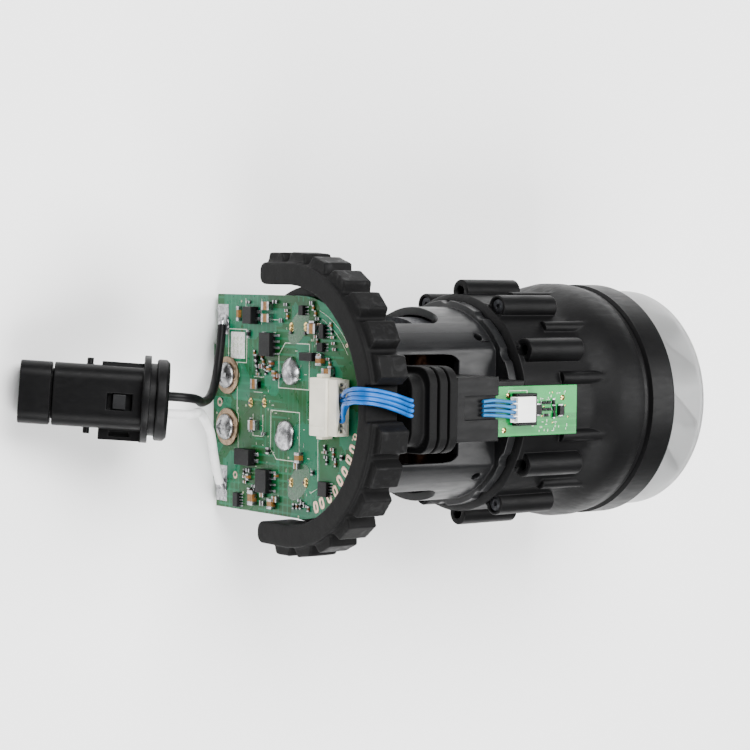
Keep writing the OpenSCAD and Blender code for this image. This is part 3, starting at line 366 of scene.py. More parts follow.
FINISHES = {}
MAKERS = {
    "frame_black": lambda: moulded(
        "satin_black_frame", tuple(colours().frame_black), 0.47, 0.00045, 0.000014, 1.9, shine=0.09),
    "frame_grey": lambda: moulded(
        "satin_grey_frame", tuple(colours().frame_grey), 0.36, 0.0005, 0.000008, 1.3, shine=0.25),
    "black_plastic": lambda: moulded(
        "moulded_black", (0.003, 0.003, 0.0032), 0.4, 0.0004, 0.000008, 1.8, shine=0.1),
    "soft_rubber": rubber_finish,
    "seal_rubber": lambda: moulded(
        "seal_rubber", (0.0025, 0.0025, 0.0027), 0.44, 0.0007, 0.00001, 1.5, shine=0.12),
    "clear_shroud": shroud_finish,
    "board_green": lambda: board_finish(
        "control_board_mask", tuple(colours().board), tuple(colours().board_copper), 0.0075, 0.0052),
    "sensor_green": lambda: board_finish(
        "sensor_board_mask", tuple(colours().sensor), shade(tuple(colours().sensor), 0.8), 0.006, 0.0045),
    "chip_black": lambda: fired("chip_moulding", (0.004, 0.004, 0.0045), 0.5),
    "ceramic_tan": lambda: fired("ceramic_tan", (0.23, 0.11, 0.03), 0.35),
    "sleeve_black": lambda: moulded(
        "capacitor_sleeve", (0.012, 0.013, 0.017), 0.25, 0.0009, 0.00001, 1.3, 0.4),
    "solder": lambda: metal("solder", (0.48, 0.48, 0.50), 0.3, 0.4, 0.0007, 0.00003),
    "steel": lambda: metal("bright_steel", (0.40, 0.40, 0.41), 0.28, 0.6),
    "washer_copper": lambda: metal("plated_washer", (0.34, 0.24, 0.16), 0.34, 0.6),
    "cream_nylon": lambda: moulded("cream_nylon", tuple(colours().cream), 0.42, 0.0006, 0.000006, 1.05),
    "white_nylon": lambda: moulded("white_nylon", (0.84, 0.84, 0.82), 0.42, 0.0006, 0.000006, 1.05),
    "blue_sheath": lambda: sheath("blue_sheath", tuple(colours().wire_blue), 0.32, 1.4),
    "dark_blue_sheath": lambda: sheath("dark_blue_sheath", (0.010, 0.085, 0.21), 0.34, 1.5),
    "black_sheath": lambda: sheath("black_sheath", (0.003, 0.003, 0.0033), 0.42, 1.5, shine=0.1),
    "white_sheath": lambda: sheath("white_sheath", (0.80, 0.80, 0.80), 0.42, 1.04),
    "contact_gold": lambda: metal("gold_contact", (0.78, 0.55, 0.22), 0.25, 0.8),
    "magnet": lambda: metal("nickel_magnet", (0.35, 0.36, 0.38), 0.32),
    "impeller_grey": lambda: moulded("impeller_grey", (0.03, 0.031, 0.034), 0.4),
    "core_steel": lambda: metal("coated_laminations", (0.05, 0.051, 0.056), 0.5, 0.7),
    "copper": lambda: metal("enamelled_copper", (0.022, 0.010, 0.006), 0.5, 0.7),
    "print": lambda: fired("board_print", (0.62, 0.66, 0.55), 0.55),
    "sticker": lambda: fired("paper_label", (0.74, 0.74, 0.72), 0.6),
    "pad_copper": lambda: metal("plated_pad", (0.66, 0.46, 0.36), 0.36, 0.75),
    "cap_brown": lambda: fired("ceramic_brown", (0.13, 0.045, 0.018), 0.32),
    "flux": lambda: moulded("flux_residue", (0.012, 0.085, 0.03), 0.25, 0.0008, 0.00002, 1.5, 0.2),
}


def finish(name):
    if name not in FINISHES:
        FINISHES[name] = MAKERS[name]()
    return FINISHES[name]


# ---- Mesh building ----
def new_piece(name, data, finish_name, body=HOUSING):
    """Puts new mesh or curve data in the scene, with its finish, riding on a body."""
    obj = bpy.data.objects.new(name, data)
    bpy.context.scene.collection.objects.link(obj)
    data.materials.append(finish(finish_name))
    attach(obj, body)
    return obj


def mesh_piece(name, builder, finish_name, rounding=0.0, segments=2, body=HOUSING):
    mesh = bpy.data.meshes.new(name)
    bmesh.ops.recalc_face_normals(builder, faces=builder.faces)
    builder.to_mesh(mesh)
    builder.free()
    obj = new_piece(name, mesh, finish_name, body)
    mesh.polygons.foreach_set("use_smooth", [True] * len(mesh.polygons))
    if rounding:
        bevel = obj.modifiers.new("rounded edges", "BEVEL")
        bevel.width = rounding
        bevel.segments = segments
        bevel.limit_method = "ANGLE"
        bevel.angle_limit = math.radians(40)
        bevel.use_clamp_overlap = True
    weigh_normals(obj)
    return obj


def weigh_normals(obj):
    normals = obj.modifiers.new("even shading", "WEIGHTED_NORMAL")
    normals.keep_sharp = False
    normals.weight = 60


def add_box(builder, low, high):
    low, high = Vector(low), Vector(high)
    spots = [(low[0] if i & 1 == 0 else high[0], low[1] if i & 2 == 0 else high[1],
              low[2] if i & 4 == 0 else high[2]) for i in range(8)]
    corners = [builder.verts.new(s) for s in spots]
    for loop in ((0, 2, 3, 1), (4, 5, 7, 6), (0, 1, 5, 4), (2, 6, 7, 3), (0, 4, 6, 2), (1, 3, 7, 5)):
        builder.faces.new([corners[i] for i in loop])


def add_turned(builder, profile, centre, axis=(-1, 0, 0), steps=28, squash=(1, 1)):
    """A solid of [radius, height] points turned about an axis through centre."""
    axis = Vector(axis).normalized()
    first = axis.orthogonal().normalized()
    second = axis.cross(first)
    rings = []
    for radius, height in profile:
        centre_here = Vector(centre) + axis * height
        if radius < 1e-7:
            rings.append([builder.verts.new(centre_here)])
            continue
        turn = [2 * math.pi * k / steps for k in range(steps)]
        across, along = first * radius * squash[0], second * radius * squash[1]
        rings.append([builder.verts.new(centre_here + across * math.cos(a) + along * math.sin(a))
                      for a in turn])
    for lower, upper in zip(rings, rings[1:]):
        for k in range(steps):
            after = (k + 1) % steps
            corners = [lower[k % len(lower)], lower[after % len(lower)],
                       upper[after % len(upper)], upper[k % len(upper)]]
            kept = [v for i, v in enumerate(corners) if v not in corners[:i]]
            if len(kept) > 2:
                builder.faces.new(kept)
    for ring, flip in ((rings[0], True), (rings[-1], False)):
        if len(ring) > 1:
            builder.faces.new(reversed(ring) if flip else ring)


def add_ring(builder, centre, outer, inner, tall, axis=(-1, 0, 0), steps=24):
    add_turned_loop(builder, [(inner, 0), (outer, 0), (outer, tall), (inner, tall)], centre, axis, steps)


def add_turned_loop(builder, profile, centre, axis=(-1, 0, 0), steps=24):
    """A closed profile turned about an axis, such as a washer."""
    axis = Vector(axis).normalized()
    first = axis.orthogonal().normalized()
    second = axis.cross(first)
    rings = [[builder.verts.new(
        Vector(centre) + axis * height + radius * (first * math.cos(a) + second * math.sin(a)))
        for radius, height in profile] for a in (2 * math.pi * k / steps for k in range(steps))]
    count = len(profile)
    for k in range(steps):
        here, there = rings[k], rings[(k + 1) % steps]
        for i in range(count):
            after = (i + 1) % count
            builder.faces.new([here[i], here[after], there[after], there[i]])


def solids(node):
    """The low and high corners of each separate solid in a CAD node."""
    builder = bmesh.new()
    builder.from_mesh(NODES[node].data)
    bmesh.ops.remove_doubles(builder, verts=builder.verts, dist=1e-6)
    seen, boxes = set(), []
    for start in builder.verts:
        if start in seen:
            continue
        island, front = [], [start]
        seen.add(start)
        while front:
            vert = front.pop()
            island.append(vert.co.copy())
            for edge in vert.link_edges:
                other = edge.other_vert(vert)
                if other not in seen:
                    seen.add(other)
                    front.append(other)
        boxes.append((Vector(map(min, *island)) if len(island) > 1 else island[0],
                      Vector(map(max, *island)) if len(island) > 1 else island[0]))
    builder.free()
    return sorted(boxes, key=lambda b: (round(b[0].y, 5), round(b[0].z, 5)))


def tube_piece(name, points, radius, finish_name, smooth=True):
    """A round wire along points."""
    curve = bpy.data.curves.new(name, "CURVE")
    curve.dimensions = "3D"
    curve.bevel_depth = radius
    curve.bevel_resolution = 5
    curve.resolution_u = 6
    curve.use_fill_caps = True
    spline = curve.splines.new("BEZIER" if smooth else "POLY")
    held = spline.bezier_points if smooth else spline.points
    held.add(len(points) - 1)
    for spot, point in zip(held, points):
        if smooth:
            spot.co = point
            spot.handle_left_type = spot.handle_right_type = "AUTO"
        else:
            spot.co = (*point, 1)
    return new_piece(name, curve, finish_name)


def on_board(y, z, out=0.0):
    """A place on the control board's outer face; y and z in millimetres at the usual board radius."""
    grow = BOARD_R / (22.8 * MM)
    return Vector((BOARD_LOW.x - out * MM, y * MM * grow, z * MM * grow))


def board_block(builder, y, z, wide, high, tall, sink=0.02):
    spot = on_board(y, z)
    add_box(builder, (spot.x - tall * MM, spot.y - wide * MM / 2, spot.z - high * MM / 2),
            (spot.x + sink * MM, spot.y + wide * MM / 2, spot.z + high * MM / 2))


def printed_line(builder, start, end, width, tall=0.02 * MM):
    """A thin printed strip on the board's outer face between two places."""
    run = end - start
    if run.length < 1e-6:
        return
    along = run.normalized()
    side = Vector((-1, 0, 0)).cross(along) * width / 2
    low = [start - side, start + side, end + side, end - side]
    bottom = [builder.verts.new(p + Vector((0.01 * MM, 0, 0))) for p in low]
    top = [builder.verts.new(p + Vector((-tall, 0, 0))) for p in low]
    builder.faces.new(bottom)
    builder.faces.new(reversed(top))
    for k in range(4):
        after = (k + 1) % 4
        builder.faces.new([bottom[k], top[k], top[after], bottom[after]])


# ---- CAD parts that keep their shape ----
KEPT = {
    "motor_frame": ("frame_grey", 1.0), "front_frame": ("frame_black", 1.3),
    "diffuser": ("frame_black", 0.6), "front_seal": ("seal_rubber", 0.0),
    "inlet_shroud": ("clear_shroud", 0.0), "board_carrier": ("black_plastic", 0.8),
    "control_board": ("board_green", 0.3), "terminal_screws": ("steel", 0.9),
    "terminal_washers": ("washer_copper", 0.7), "bulk_capacitors": ("sleeve_black", 0.0),
    "board_header": ("cream_nylon", 1.1), "board_plug": ("cream_nylon", 0.5),
    "sensor_bracket": ("black_plastic", 1.4), "sensor_board": ("sensor_green", 0.3),
    "plug_body": ("black_plastic", 1.4), "plug_cap": ("black_plastic", 1.6),
    "plug_gland": ("seal_rubber", 1.0), "plug_seal": ("seal_rubber", 0.0),
    "plug_contacts": ("contact_gold", 0.0), "plug_latch": ("frame_grey", 0.6),
    "rotor_shaft": ("steel", 0.0), "rotor_magnet": ("magnet", 0.0),
    "impeller": ("impeller_grey", 0.0), "rear_bearing": ("steel", 0.0),
    "front_bearing": ("steel", 0.0), "bearing_sleeve": ("steel", 0.0),
    "preload_spring": ("steel", 0.0), "sleeve_rings": ("seal_rubber", 0.0),
    "upper_core": ("core_steel", 0.0), "lower_core": ("core_steel", 0.0),
    "coil_formers": ("black_plastic", 0.0), "coils": ("copper", 0.0),
    "frame_screws": ("core_steel", 0.4),
}


def dress(node):
    """Gives a CAD part its finish, and rounds its edges a little."""
    finish_name, rounding = KEPT[node]
    obj = NODES[node]
    obj.data.materials.clear()
    obj.data.materials.append(finish(finish_name))
    if rounding:
        weld = obj.modifiers.new("joined faces", "WELD")
        weld.merge_threshold = 2e-6
        bevel = obj.modifiers.new("rounded edges", "BEVEL")
        bevel.width = sizes().edge_round * rounding
        bevel.segments = 2
        bevel.limit_method = "ANGLE"
        bevel.angle_limit = math.radians(38)
        bevel.use_clamp_overlap = False
        weigh_normals(obj)


# ---- Operators ----
class StageOperator(bpy.types.Operator):
    """Makes the camera, the soft studio lights and the pale floor"""
    bl_idname = "fan_motor.stage"
    bl_label = "Stage"

    def execute(self, context):
        scene = context.scene
        back = CAMERA_RIGHT.cross(CAMERA_UP).normalized()
        data = bpy.data.cameras.new("camera")
        data.sensor_width = 36
        data.lens = CAMERA_LENS
        data.clip_start, data.clip_end = 0.01, 10
        camera = bpy.data.objects.new("camera", data)
        turn = Matrix((CAMERA_RIGHT, CAMERA_UP, back)).transposed().to_4x4()
        camera.matrix_world = Matrix.Translation(CAMERA_PLACE) @ turn
        scene.collection.objects.link(camera)
        scene.camera = camera

        world = bpy.data.worlds.new("studio")
        world.use_nodes = True
        world.node_tree.nodes["Background"].inputs["Color"].default_value = (1, 1, 1, 1)
        world.node_tree.nodes["Background"].inputs["Strength"].default_value = 0.16
        scene.world = world
        lights = (
            ("key", (-0.10, 0.50, 0.75), 0.60, 0.60, 20.0),
            ("fill", (-0.10, -0.60, 0.55), 0.60, 0.60, 15.0),
            ("front", (0.55, 0.05, 0.55), 0.45, 0.45, 6.0),
        )
        aim = (CAD_LOW + CAD_HIGH) / 2
        for name, spot, wide, deep, power in lights:
            lamp = bpy.data.lights.new(name, "AREA")
            lamp.shape = "RECTANGLE"
            lamp.size, lamp.size_y, lamp.energy = wide, deep, power
            obj = bpy.data.objects.new(name, lamp)
            obj.location = spot
            obj.rotation_euler = (Vector(spot) - aim).to_track_quat("Z", "Y").to_euler()
            scene.collection.objects.link(obj)

        builder = bmesh.new()
        bmesh.ops.create_grid(builder, x_segments=2, y_segments=2, size=1.5)
        mesh = bpy.data.meshes.new("floor")
        builder.to_mesh(mesh)
        builder.free()
        floor = bpy.data.objects.new("floor", mesh)
        floor.location = (0, 0, CAD_LOW.z - 0.0002)
        mesh.materials.append(floor_finish())
        scene.collection.objects.link(floor)
        return {"FINISHED"}


class LeadsOperator(bpy.types.Operator):
    """Makes the two power leads between the plug and the board"""
    bl_idname = "fan_motor.leads"
    bl_label = "Power leads"

    def execute(self, context):
        diameter = sizes().lead_d
        leads = (
            ("black_power_lead", BLACK_ROUTE, "black_sheath", "black_lead",
             ("plug_body", "plug_cap", "plug_contacts", "plug_latch")),
            ("white_power_lead", WHITE_ROUTE, "white_sheath", "white_lead", ("plug_gland", "plug_seal")),
        )
        for name, route, finish_name, node, plug in leads:
            lead = tube_piece(name, route, diameter / 2, finish_name)
            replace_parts(lead, node)
        return {"FINISHED"}


class CadPartsOperator(bpy.types.Operator):
    """Gives every CAD part that keeps its shape its finish and soft edges"""
    bl_idname = "fan_motor.cad_parts"
    bl_label = "Moulded and turned parts"

    def execute(self, context):
        for node in KEPT:
            dress(node)
        return {"FINISHED"}


def remeshed(name, node, finish_name, voxel, passes, ripple):
    """A copy of a CAD part with every edge softly rounded, as moulded rubber is."""
    mesh = NODES[node].data.copy()
    mesh.name = name
    mesh.materials.clear()
    obj = new_piece(name, mesh, finish_name)
    weld = obj.modifiers.new("joined faces", "WELD")
    weld.merge_threshold = 2e-6
    remesh = obj.modifiers.new("even skin", "REMESH")
    remesh.mode = "VOXEL"
    remesh.voxel_size = voxel
    remesh.use_smooth_shade = True
    smooth = obj.modifiers.new("soft edges", "SMOOTH")
    smooth.factor = 0.5
    smooth.iterations = passes
    waves = bpy.data.textures.new(name + "_ripple", "CLOUDS")
    waves.noise_scale = 0.004
    shift = obj.modifiers.new("moulding ripple", "DISPLACE")
    shift.texture = waves
    shift.texture_coords = "LOCAL"
    shift.strength = ripple
    shift.mid_level = 0.5
    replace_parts(obj, node)
    return obj


class RubberOperator(bpy.types.Operator):
    """Makes the ribbed rubber mount and the wire grommet"""
    bl_idname = "fan_motor.rubber"
    bl_label = "Rubber mount and grommet"

    def execute(self, context):
        remeshed("rubber_mount", "rear_mount", "soft_rubber", sizes().rubber_round, 5, 0.00012)
        remeshed("rubber_grommet", "wire_grommet", "soft_rubber", sizes().rubber_round * 0.8, 3, 0.00006)
        return {"FINISHED"}


# Small parts on the control board that are only in the looks: y, z, width, height, in millimetres
TAN_PARTS = [
    (8.1, 11.0, 1.3, 1.2), (4.0, -14.9, 1.4, 1.5), (-12.0, -0.3, 1.2, 1.2),
    (10.5, 7.3, 1.2, 1.5), (-18.9, -12.4, 1.0, 1.2), (-19.5, -7.8, 1.2, 1.5),
    (7.4, -10.6, 1.0, 0.9), (6.6, -8.6, 1.0, 1.0), (-15.6, -17.8, 1.2, 0.9),
    (18.7, -21.9, 3.0, 0.8), (7.0, 8.6, 0.7, 0.7), (-14.6, -7.6, 0.7, 0.7),
]
BLACK_PARTS = [
    (21.4, -8.6, 0.6, 1.4), (-9.6, -10.8, 1.2, 1.0), (-20.7, -12.7, 1.0, 1.2),
    (9.6, -15.4, 1.3, 0.8), (14.6, -12.6, 0.8, 0.8), (21.3, 4.2, 0.8, 0.8),
    (-9.2, 14.9, 0.9, 0.7), (-14.2, -17.9, 0.8, 1.1), (14.5, -18.4, 1.5, 0.8),
    (17.6, -6.4, 0.8, 0.8), (-13.0, 5.0, 0.8, 0.6), (-6.2, -12.4, 0.6, 0.8),
]
BROWN_PARTS = [
    (16.9, 4.9, 1.6, 1.6), (7.9, -13.1, 0.9, 1.1), (8.6, -9.6, 1.0, 0.8),
    (-18.4, -17.1, 1.0, 0.8), (6.2, -6.6, 0.8, 1.1), (5.7, -8.1, 0.9, 0.8),
]
# Rows of tiny resistors and capacitors: y, z, count, step in y, step in z
TINY_ROWS = [(10.6, -16.2, 5, -1.1, 0.35), (9.9, -13.4, 4, -1.05, 0.5), (20.9, -5.0, 3, -1.2, 0.3),
             (20.4, 4.6, 4, -1.1, 0.75), (17.0, 10.6, 5, -1.2, 0.32), (10.2, 9.8, 4, -1.05, 0.6),
             (-19.0, 0.6, 4, -0.5, 1.0), (-20.4, -1.6, 3, 0.1, 1.2), (-17.4, -16.0, 3, -1.1, 0.1),
             (-7.6, 9.0, 4, -0.95, 0.25), (-7.8, 11.6, 4, -0.95, 0.35), (-14.6, -19.6, 3, -1.1, 0.2),
             (14.6, 5.6, 3, -1.0, 0.5), (-3.6, -17.2, 3, -1.1, 0.0), (21.2, -18.6, 2, -1.2, 0.1)]


def add_end_caps(ends, low, high):
    """Two soldered ends on a small part, along its longer side."""
    wide, tall = high.y - low.y, high.z - low.z
    axis = 1 if wide >= tall else 2
    span = high[axis] - low[axis]
    grow = Vector((0.00004, 0.00003, 0.00003))
    for start, stop in ((0.0, 0.24), (0.76, 1.0)):
        a, b = low - grow, high + grow
        a[axis] = low[axis] + span * start - (0.00008 if start == 0 else 0)
        b[axis] = low[axis] + span * stop + (0.00008 if stop == 1 else 0)
        add_box(ends, a, b)


class SmallPartsOperator(bpy.types.Operator):
    """Makes the small parts soldered on the control board"""
    bl_idname = "fan_motor.small_parts"
    bl_label = "Small parts"

    def execute(self, context):
        ends = bmesh.new()
        bodies = {kind: bmesh.new() for kind in ("ceramic_tan", "chip_black", "cap_brown")}
        face = BOARD_LOW.x
        for low, high in solids("ceramic_capacitors"):
            add_box(bodies["ceramic_tan"], low, high)
            add_end_caps(ends, low, high)
        for kind, places, tall in (("ceramic_tan", TAN_PARTS, 0.8), ("chip_black", BLACK_PARTS, 0.6),
                                   ("cap_brown", BROWN_PARTS, 0.9)):
            for y, z, wide, high_z in places:
                spot = on_board(y, z)
                half = Vector((0, wide * MM / 2, high_z * MM / 2))
                low, high = spot - half - Vector((tall * MM, 0, 0)), spot + half
                add_box(bodies[kind], low, high)
                add_end_caps(ends, low, high)
        draw = random.Random(7)
        for y, z, count, step_y, step_z in TINY_ROWS:
            for k in range(count):
                spot = on_board(y + step_y * k, z + step_z * k)
                long_y = draw.random() < 0.45
                half = Vector((0, 0.0005 if long_y else 0.00026, 0.00026 if long_y else 0.0005))
                kind = draw.choice(("chip_black", "ceramic_tan", "chip_black", "cap_brown"))
                low, high = spot - half - Vector((0.0004, 0, 0)), spot + half
                add_box(bodies[kind], low, high)
                add_end_caps(ends, low, high)
        for kind, builder in bodies.items():
            piece = mesh_piece("small_parts_" + kind, builder, kind, 0.00005)
            if kind == "ceramic_tan":
                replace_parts(piece, "ceramic_capacitors")
        mesh_piece("small_part_ends", ends, "solder", 0.00004)
        self.packages(face)
        return {"FINISHED"}

    def packages(self, face):
        cases, legs = bmesh.new(), bmesh.new()
        pitch, leg_w = 0.00127, 0.00042
        for low, high in solids("driver_chips"):
            add_box(cases, (low.x, low.y, low.z + 0.0011), (face - 0.00015, high.y, high.z - 0.0011))
            middle = (low.y + high.y) / 2
            for k in range(4):
                y = middle + (k - 1.5) * pitch
                for edge, out in ((high.z - 0.0011, 1), (low.z + 0.0011, -1)):
                    self.gull_leg(legs, face, y, edge, out, leg_w, 0.0011, 0.0008)
        logic = solids("logic_chips")
        for low, high in logic:
            add_box(cases, (low.x, low.y, low.z), (face - 0.00008, high.y, high.z))
            count = max(2, round((high.y - low.y) / 0.00065))
            for k in range(count):
                y = low.y + (high.y - low.y) * (k + 0.5) / count
                for edge, out in ((high.z, 1), (low.z, -1)):
                    self.gull_leg(legs, face, y, edge, out, 0.00026, 0.0006, 0.0004)
        for low, high in solids("power_diodes"):
            add_box(cases, (low.x, low.y, low.z), (face - 0.0001, high.y, high.z))
            for edge, out in ((high.z, 1), (low.z, -1)):
                for share in (0.3, 0.7):
                    y = low.y + (high.y - low.y) * share
                    self.gull_leg(legs, face, y, edge, out, 0.0007, 0.0007, 0.0006)
        piece = mesh_piece("chip_cases", cases, "chip_black", 0.00012)
        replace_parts(piece, "driver_chips", "logic_chips", "power_diodes")
        mesh_piece("chip_legs", legs, "solder", 0.00004)

    def gull_leg(self, builder, face, y, edge, out, wide, reach, rise):
        """One bent leg from a package's side down to its pad."""
        half, thick = wide / 2, 0.00018
        knee = edge + out * reach * 0.45
        tip = edge + out * reach
        for a, b, low_x, high_x in ((edge - out * 0.0002, knee, face - rise, face - rise + thick),
                                    (knee - out * thick, knee, face - rise, face),
                                    (knee - out * thick, tip, face - thick, face)):
            add_box(builder, (low_x, y - half, min(a, b)), (high_x, y + half, max(a, b)))
        spot_a, spot_b = min(knee, tip + out * 0.0002), max(knee, tip + out * 0.0002)
        add_box(builder, (face - 0.00006, y - half * 1.3, spot_a), (face + 0.00002, y + half * 1.3, spot_b))


class BoardPrintOperator(bpy.types.Operator):
    """Makes the pads, plated holes, printed outlines and paper label on the control board"""
    bl_idname = "fan_motor.board_print"
    bl_label = "Pads and print"

    def execute(self, context):
        width = sizes().silk_w
        lines = bmesh.new()
        outlines = (
            [(13.0, 3.1), (3.7, 3.1), (3.7, -7.6), (10.6, -7.6), (13.0, -5.4)],
            [(-1.1, -10.3), (-1.1, -0.1), (-11.2, -0.1), (-11.2, -8.2), (-9.2, -10.3)],
            [(15.4, -26.2), (15.4, -19.4), (8.4, -19.4), (8.4, -26.2)],
        )
        for outline in outlines:
            for a, b in zip(outline, outline[1:] + outline[:1]):
                printed_line(lines, on_board(*a), on_board(*b), width)
        open_lines = (
            [(-6.2, 6.3), (-16.1, 6.5), (-17.3, 3.8)],
            [(22.0, -19.9), (16.6, -19.9)], [(22.0, -14.0), (16.6, -14.0)],
            [(8.4, -22.8), (-2.2, -22.8), (-2.6, -22.3), (-12.8, -22.3)],
            [(17.7, -14.1), (17.7, -7.2)], [(2.4, -16.6), (2.4, -13.4)], [(5.6, -16.6), (5.6, -13.4)],
            [(-2.2, -16.8), (-6.8, -16.8), (-6.8, -13.2), (-2.2, -13.2)],
        )
        for line in open_lines:
            for a, b in zip(line, line[1:]):
                printed_line(lines, on_board(*a), on_board(*b), width * 0.8)
        for radius, first, last in ((20.9, 18, 74), (19.6, 22, 58)):
            spots = [on_board(radius * math.cos(math.radians(a)), radius * math.sin(math.radians(a)))
                     for a in range(first, last, 3)]
            for a, b in zip(spots, spots[1:]):
                printed_line(lines, a, b, width * 0.6)
        draw = random.Random(11)
        for _ in range(70):
            turn, reach = draw.uniform(0, 360), draw.uniform(6, 21)
            y, z = reach * math.cos(math.radians(turn)), reach * math.sin(math.radians(turn)) - 3
            tick = draw.choice(((0.0, 0.5), (0.5, 0.0), (0.8, 0.0), (0.0, 0.8)))
            printed_line(lines, on_board(y, z), on_board(y + tick[0], z + tick[1]), width * 0.7)
        mesh_piece("printed_outlines", lines, "print")

        pads = bmesh.new()
        for y, z, wide, high in ((17.4, -28.4, 6.4, 4.0), (-17.7, -28.4, 7.6, 4.0)):
            board_block(pads, y, z, wide, high, 0.05)
            draw = random.Random(int(wide * 10))
            for _ in range(9):
                spot = on_board(y + draw.uniform(-0.42, 0.42) * wide, z + draw.uniform(-0.4, 0.4) * high)
                size = draw.uniform(0.35, 0.9) * MM
                mound = [(size, -0.00002), (size * 0.8, 0.0001), (size * 0.4, 0.00022), (0, 0.00026)]
                add_turned(pads, mound, spot, steps=14)
        mesh_piece("power_pads", pads, "solder", 0.00003)

        rings = bmesh.new()
        for y, z in ((-7.3, 18.1), (-9.5, 16.8), (-12.0, 15.5), (-13.9, 13.9), (-16.1, 12.3), (-17.5, 10.3),
                     (-18.9, 7.9), (-19.9, 5.9)):
            self.oval_pad(rings, y, z)
        for y, z, size in ((-4.8, 18.7, 0.7), (-0.4, -29.4, 0.95), (-15.6, -23.3, 0.8), (13.1, 15.7, 0.4)):
            add_ring(rings, on_board(y, z), size * MM, size * 0.5 * MM, 0.00004)
        mesh_piece("test_pads", rings, "pad_copper", 0.00002)

        label, marks = bmesh.new(), bmesh.new()
        board_block(label, 12.0, -22.7, 5.6, 5.2, 0.08)
        for row in range(3):
            for col in range(3):
                mark_high = 0.5 + 0.2 * ((row + col) % 2)
                board_block(marks, 13.4 - 1.4 * col, -24.0 + 1.3 * row, 0.8, mark_high, 0.09, 0)
        mesh_piece("paper_label", label, "sticker", 0.00004)
        mesh_piece("label_marks", marks, "print")
        return {"FINISHED"}

    def oval_pad(self, builder, y, z):
        """An oval ring of bare copper pointing at the motor axis."""
        middle = on_board(y, z)
        out = Vector((0, y, z)).normalized()
        side = Vector((-1, 0, 0)).cross(out)
        steps = 20
        loops = []
        for grow, lift in ((1.0, 0.00001), (1.0, -0.00005), (0.42, -0.00005), (0.42, 0.00001)):
            ring = []
            for k in range(steps):
                a = 2 * math.pi * k / steps
                long_half, short_half = (0.00125, 0.00082) if grow == 1 else (0.0006, 0.00026)
                along = math.copysign(abs(math.cos(a)) ** 0.7, math.cos(a)) * long_half
                across = math.copysign(abs(math.sin(a)) ** 0.7, math.sin(a)) * short_half
                ring.append(builder.verts.new(middle + out * along + side * across + Vector((lift, 0, 0))))
            loops.append(ring)
        for first, second in zip(loops, loops[1:] + loops[:1]):
            for k in range(steps):
                after = (k + 1) % steps
                builder.faces.new([first[k], first[after], second[after], second[k]])


class SolderOperator(bpy.types.Operator):
    """Makes the solder blobs of the coil ends, capacitor pins and leads"""
    bl_idname = "fan_motor.solder"
    bl_label = "Solder"

    def execute(self, context):
        draw = random.Random(5)
        for count, (low, high) in enumerate(solids("coil_terminals")):
            middle = Vector((BOARD_LOW.x, (low.y + high.y) / 2, (low.z + high.z) / 2))
            size = Vector(((high.x - low.x) * 1.0, (high.y - low.y) * 0.5, (high.z - low.z) * 0.5))
            builder = bmesh.new()
            bmesh.ops.create_icosphere(builder, subdivisions=5, radius=1.0)
            lumps = [(Vector((draw.uniform(-1, 0), draw.uniform(-1, 1), draw.uniform(-1, 1))).normalized(),
                      draw.uniform(0.10, 0.30)) for _ in range(11)]
            for vert in builder.verts:
                way = vert.co.normalized()
                swell = 0.74 + sum(s * max(0.0, way.dot(w)) ** 5 for w, s in lumps)
                vert.co = Vector((way.x * size.x * min(swell, 1.0), way.y * size.y * min(swell, 1.05),
                                  way.z * size.z * min(swell, 1.05)))
                vert.co.x = min(vert.co.x, 0.0002)
                vert.co += middle
            piece = mesh_piece("coil_solder_" + str(count + 1), builder, "solder")
            if count == 0:
                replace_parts(piece, "coil_terminals")

        joints = bmesh.new()
        for y, z in ((16.3, -3.2), (16.5, 1.9), (0.1, -17.7), (0.3, -12.7), (-15.6, -2.7), (-15.2, 2.4)):
            for shift in (-0.35, 0.35):
                add_turned(joints, [(0.00075, -0.00001), (0.0006, 0.00012), (0.0003, 0.0004), (0, 0.0005)],
                           on_board(y + shift, z), steps=18)
        mesh_piece("pin_solder", joints, "contact_gold")

        flux = bmesh.new()
        for y, z, wide, high in ((16.4, -0.7, 2.6, 4.6), (-15.4, -0.2, 2.8, 4.8)):
            add_turned(flux, [(1, -0.00001), (0.97, 0.00003), (0.5, 0.00006), (0, 0.00007)], on_board(y, z),
                       steps=32, squash=(high * MM, wide * MM))
        mesh_piece("flux_residue", flux, "flux")

        ends = bmesh.new()
        for route in (BLACK_ROUTE, WHITE_ROUTE):
            tip = Vector(route[-1])
            along = (tip - Vector(route[-2])).normalized()
            sleeve = [(0.0007, -0.0006), (0.00075, 0.0), (0.0009, 0.0007), (0.0008, 0.0016), (0, 0.0021)]
            add_turned(ends, sleeve, tip, axis=along, steps=20)
            foot = (BOARD_LOW.x, tip.y + along.y * 0.001, tip.z + along.z * 0.001)
            add_turned(ends, [(0.0021, 0), (0.0019, 0.0003), (0.0012, 0.0007), (0, 0.0009)], foot,
                       steps=26, squash=(0.75, 1))
        mesh_piece("lead_solder", ends, "solder")
        return {"FINISHED"}


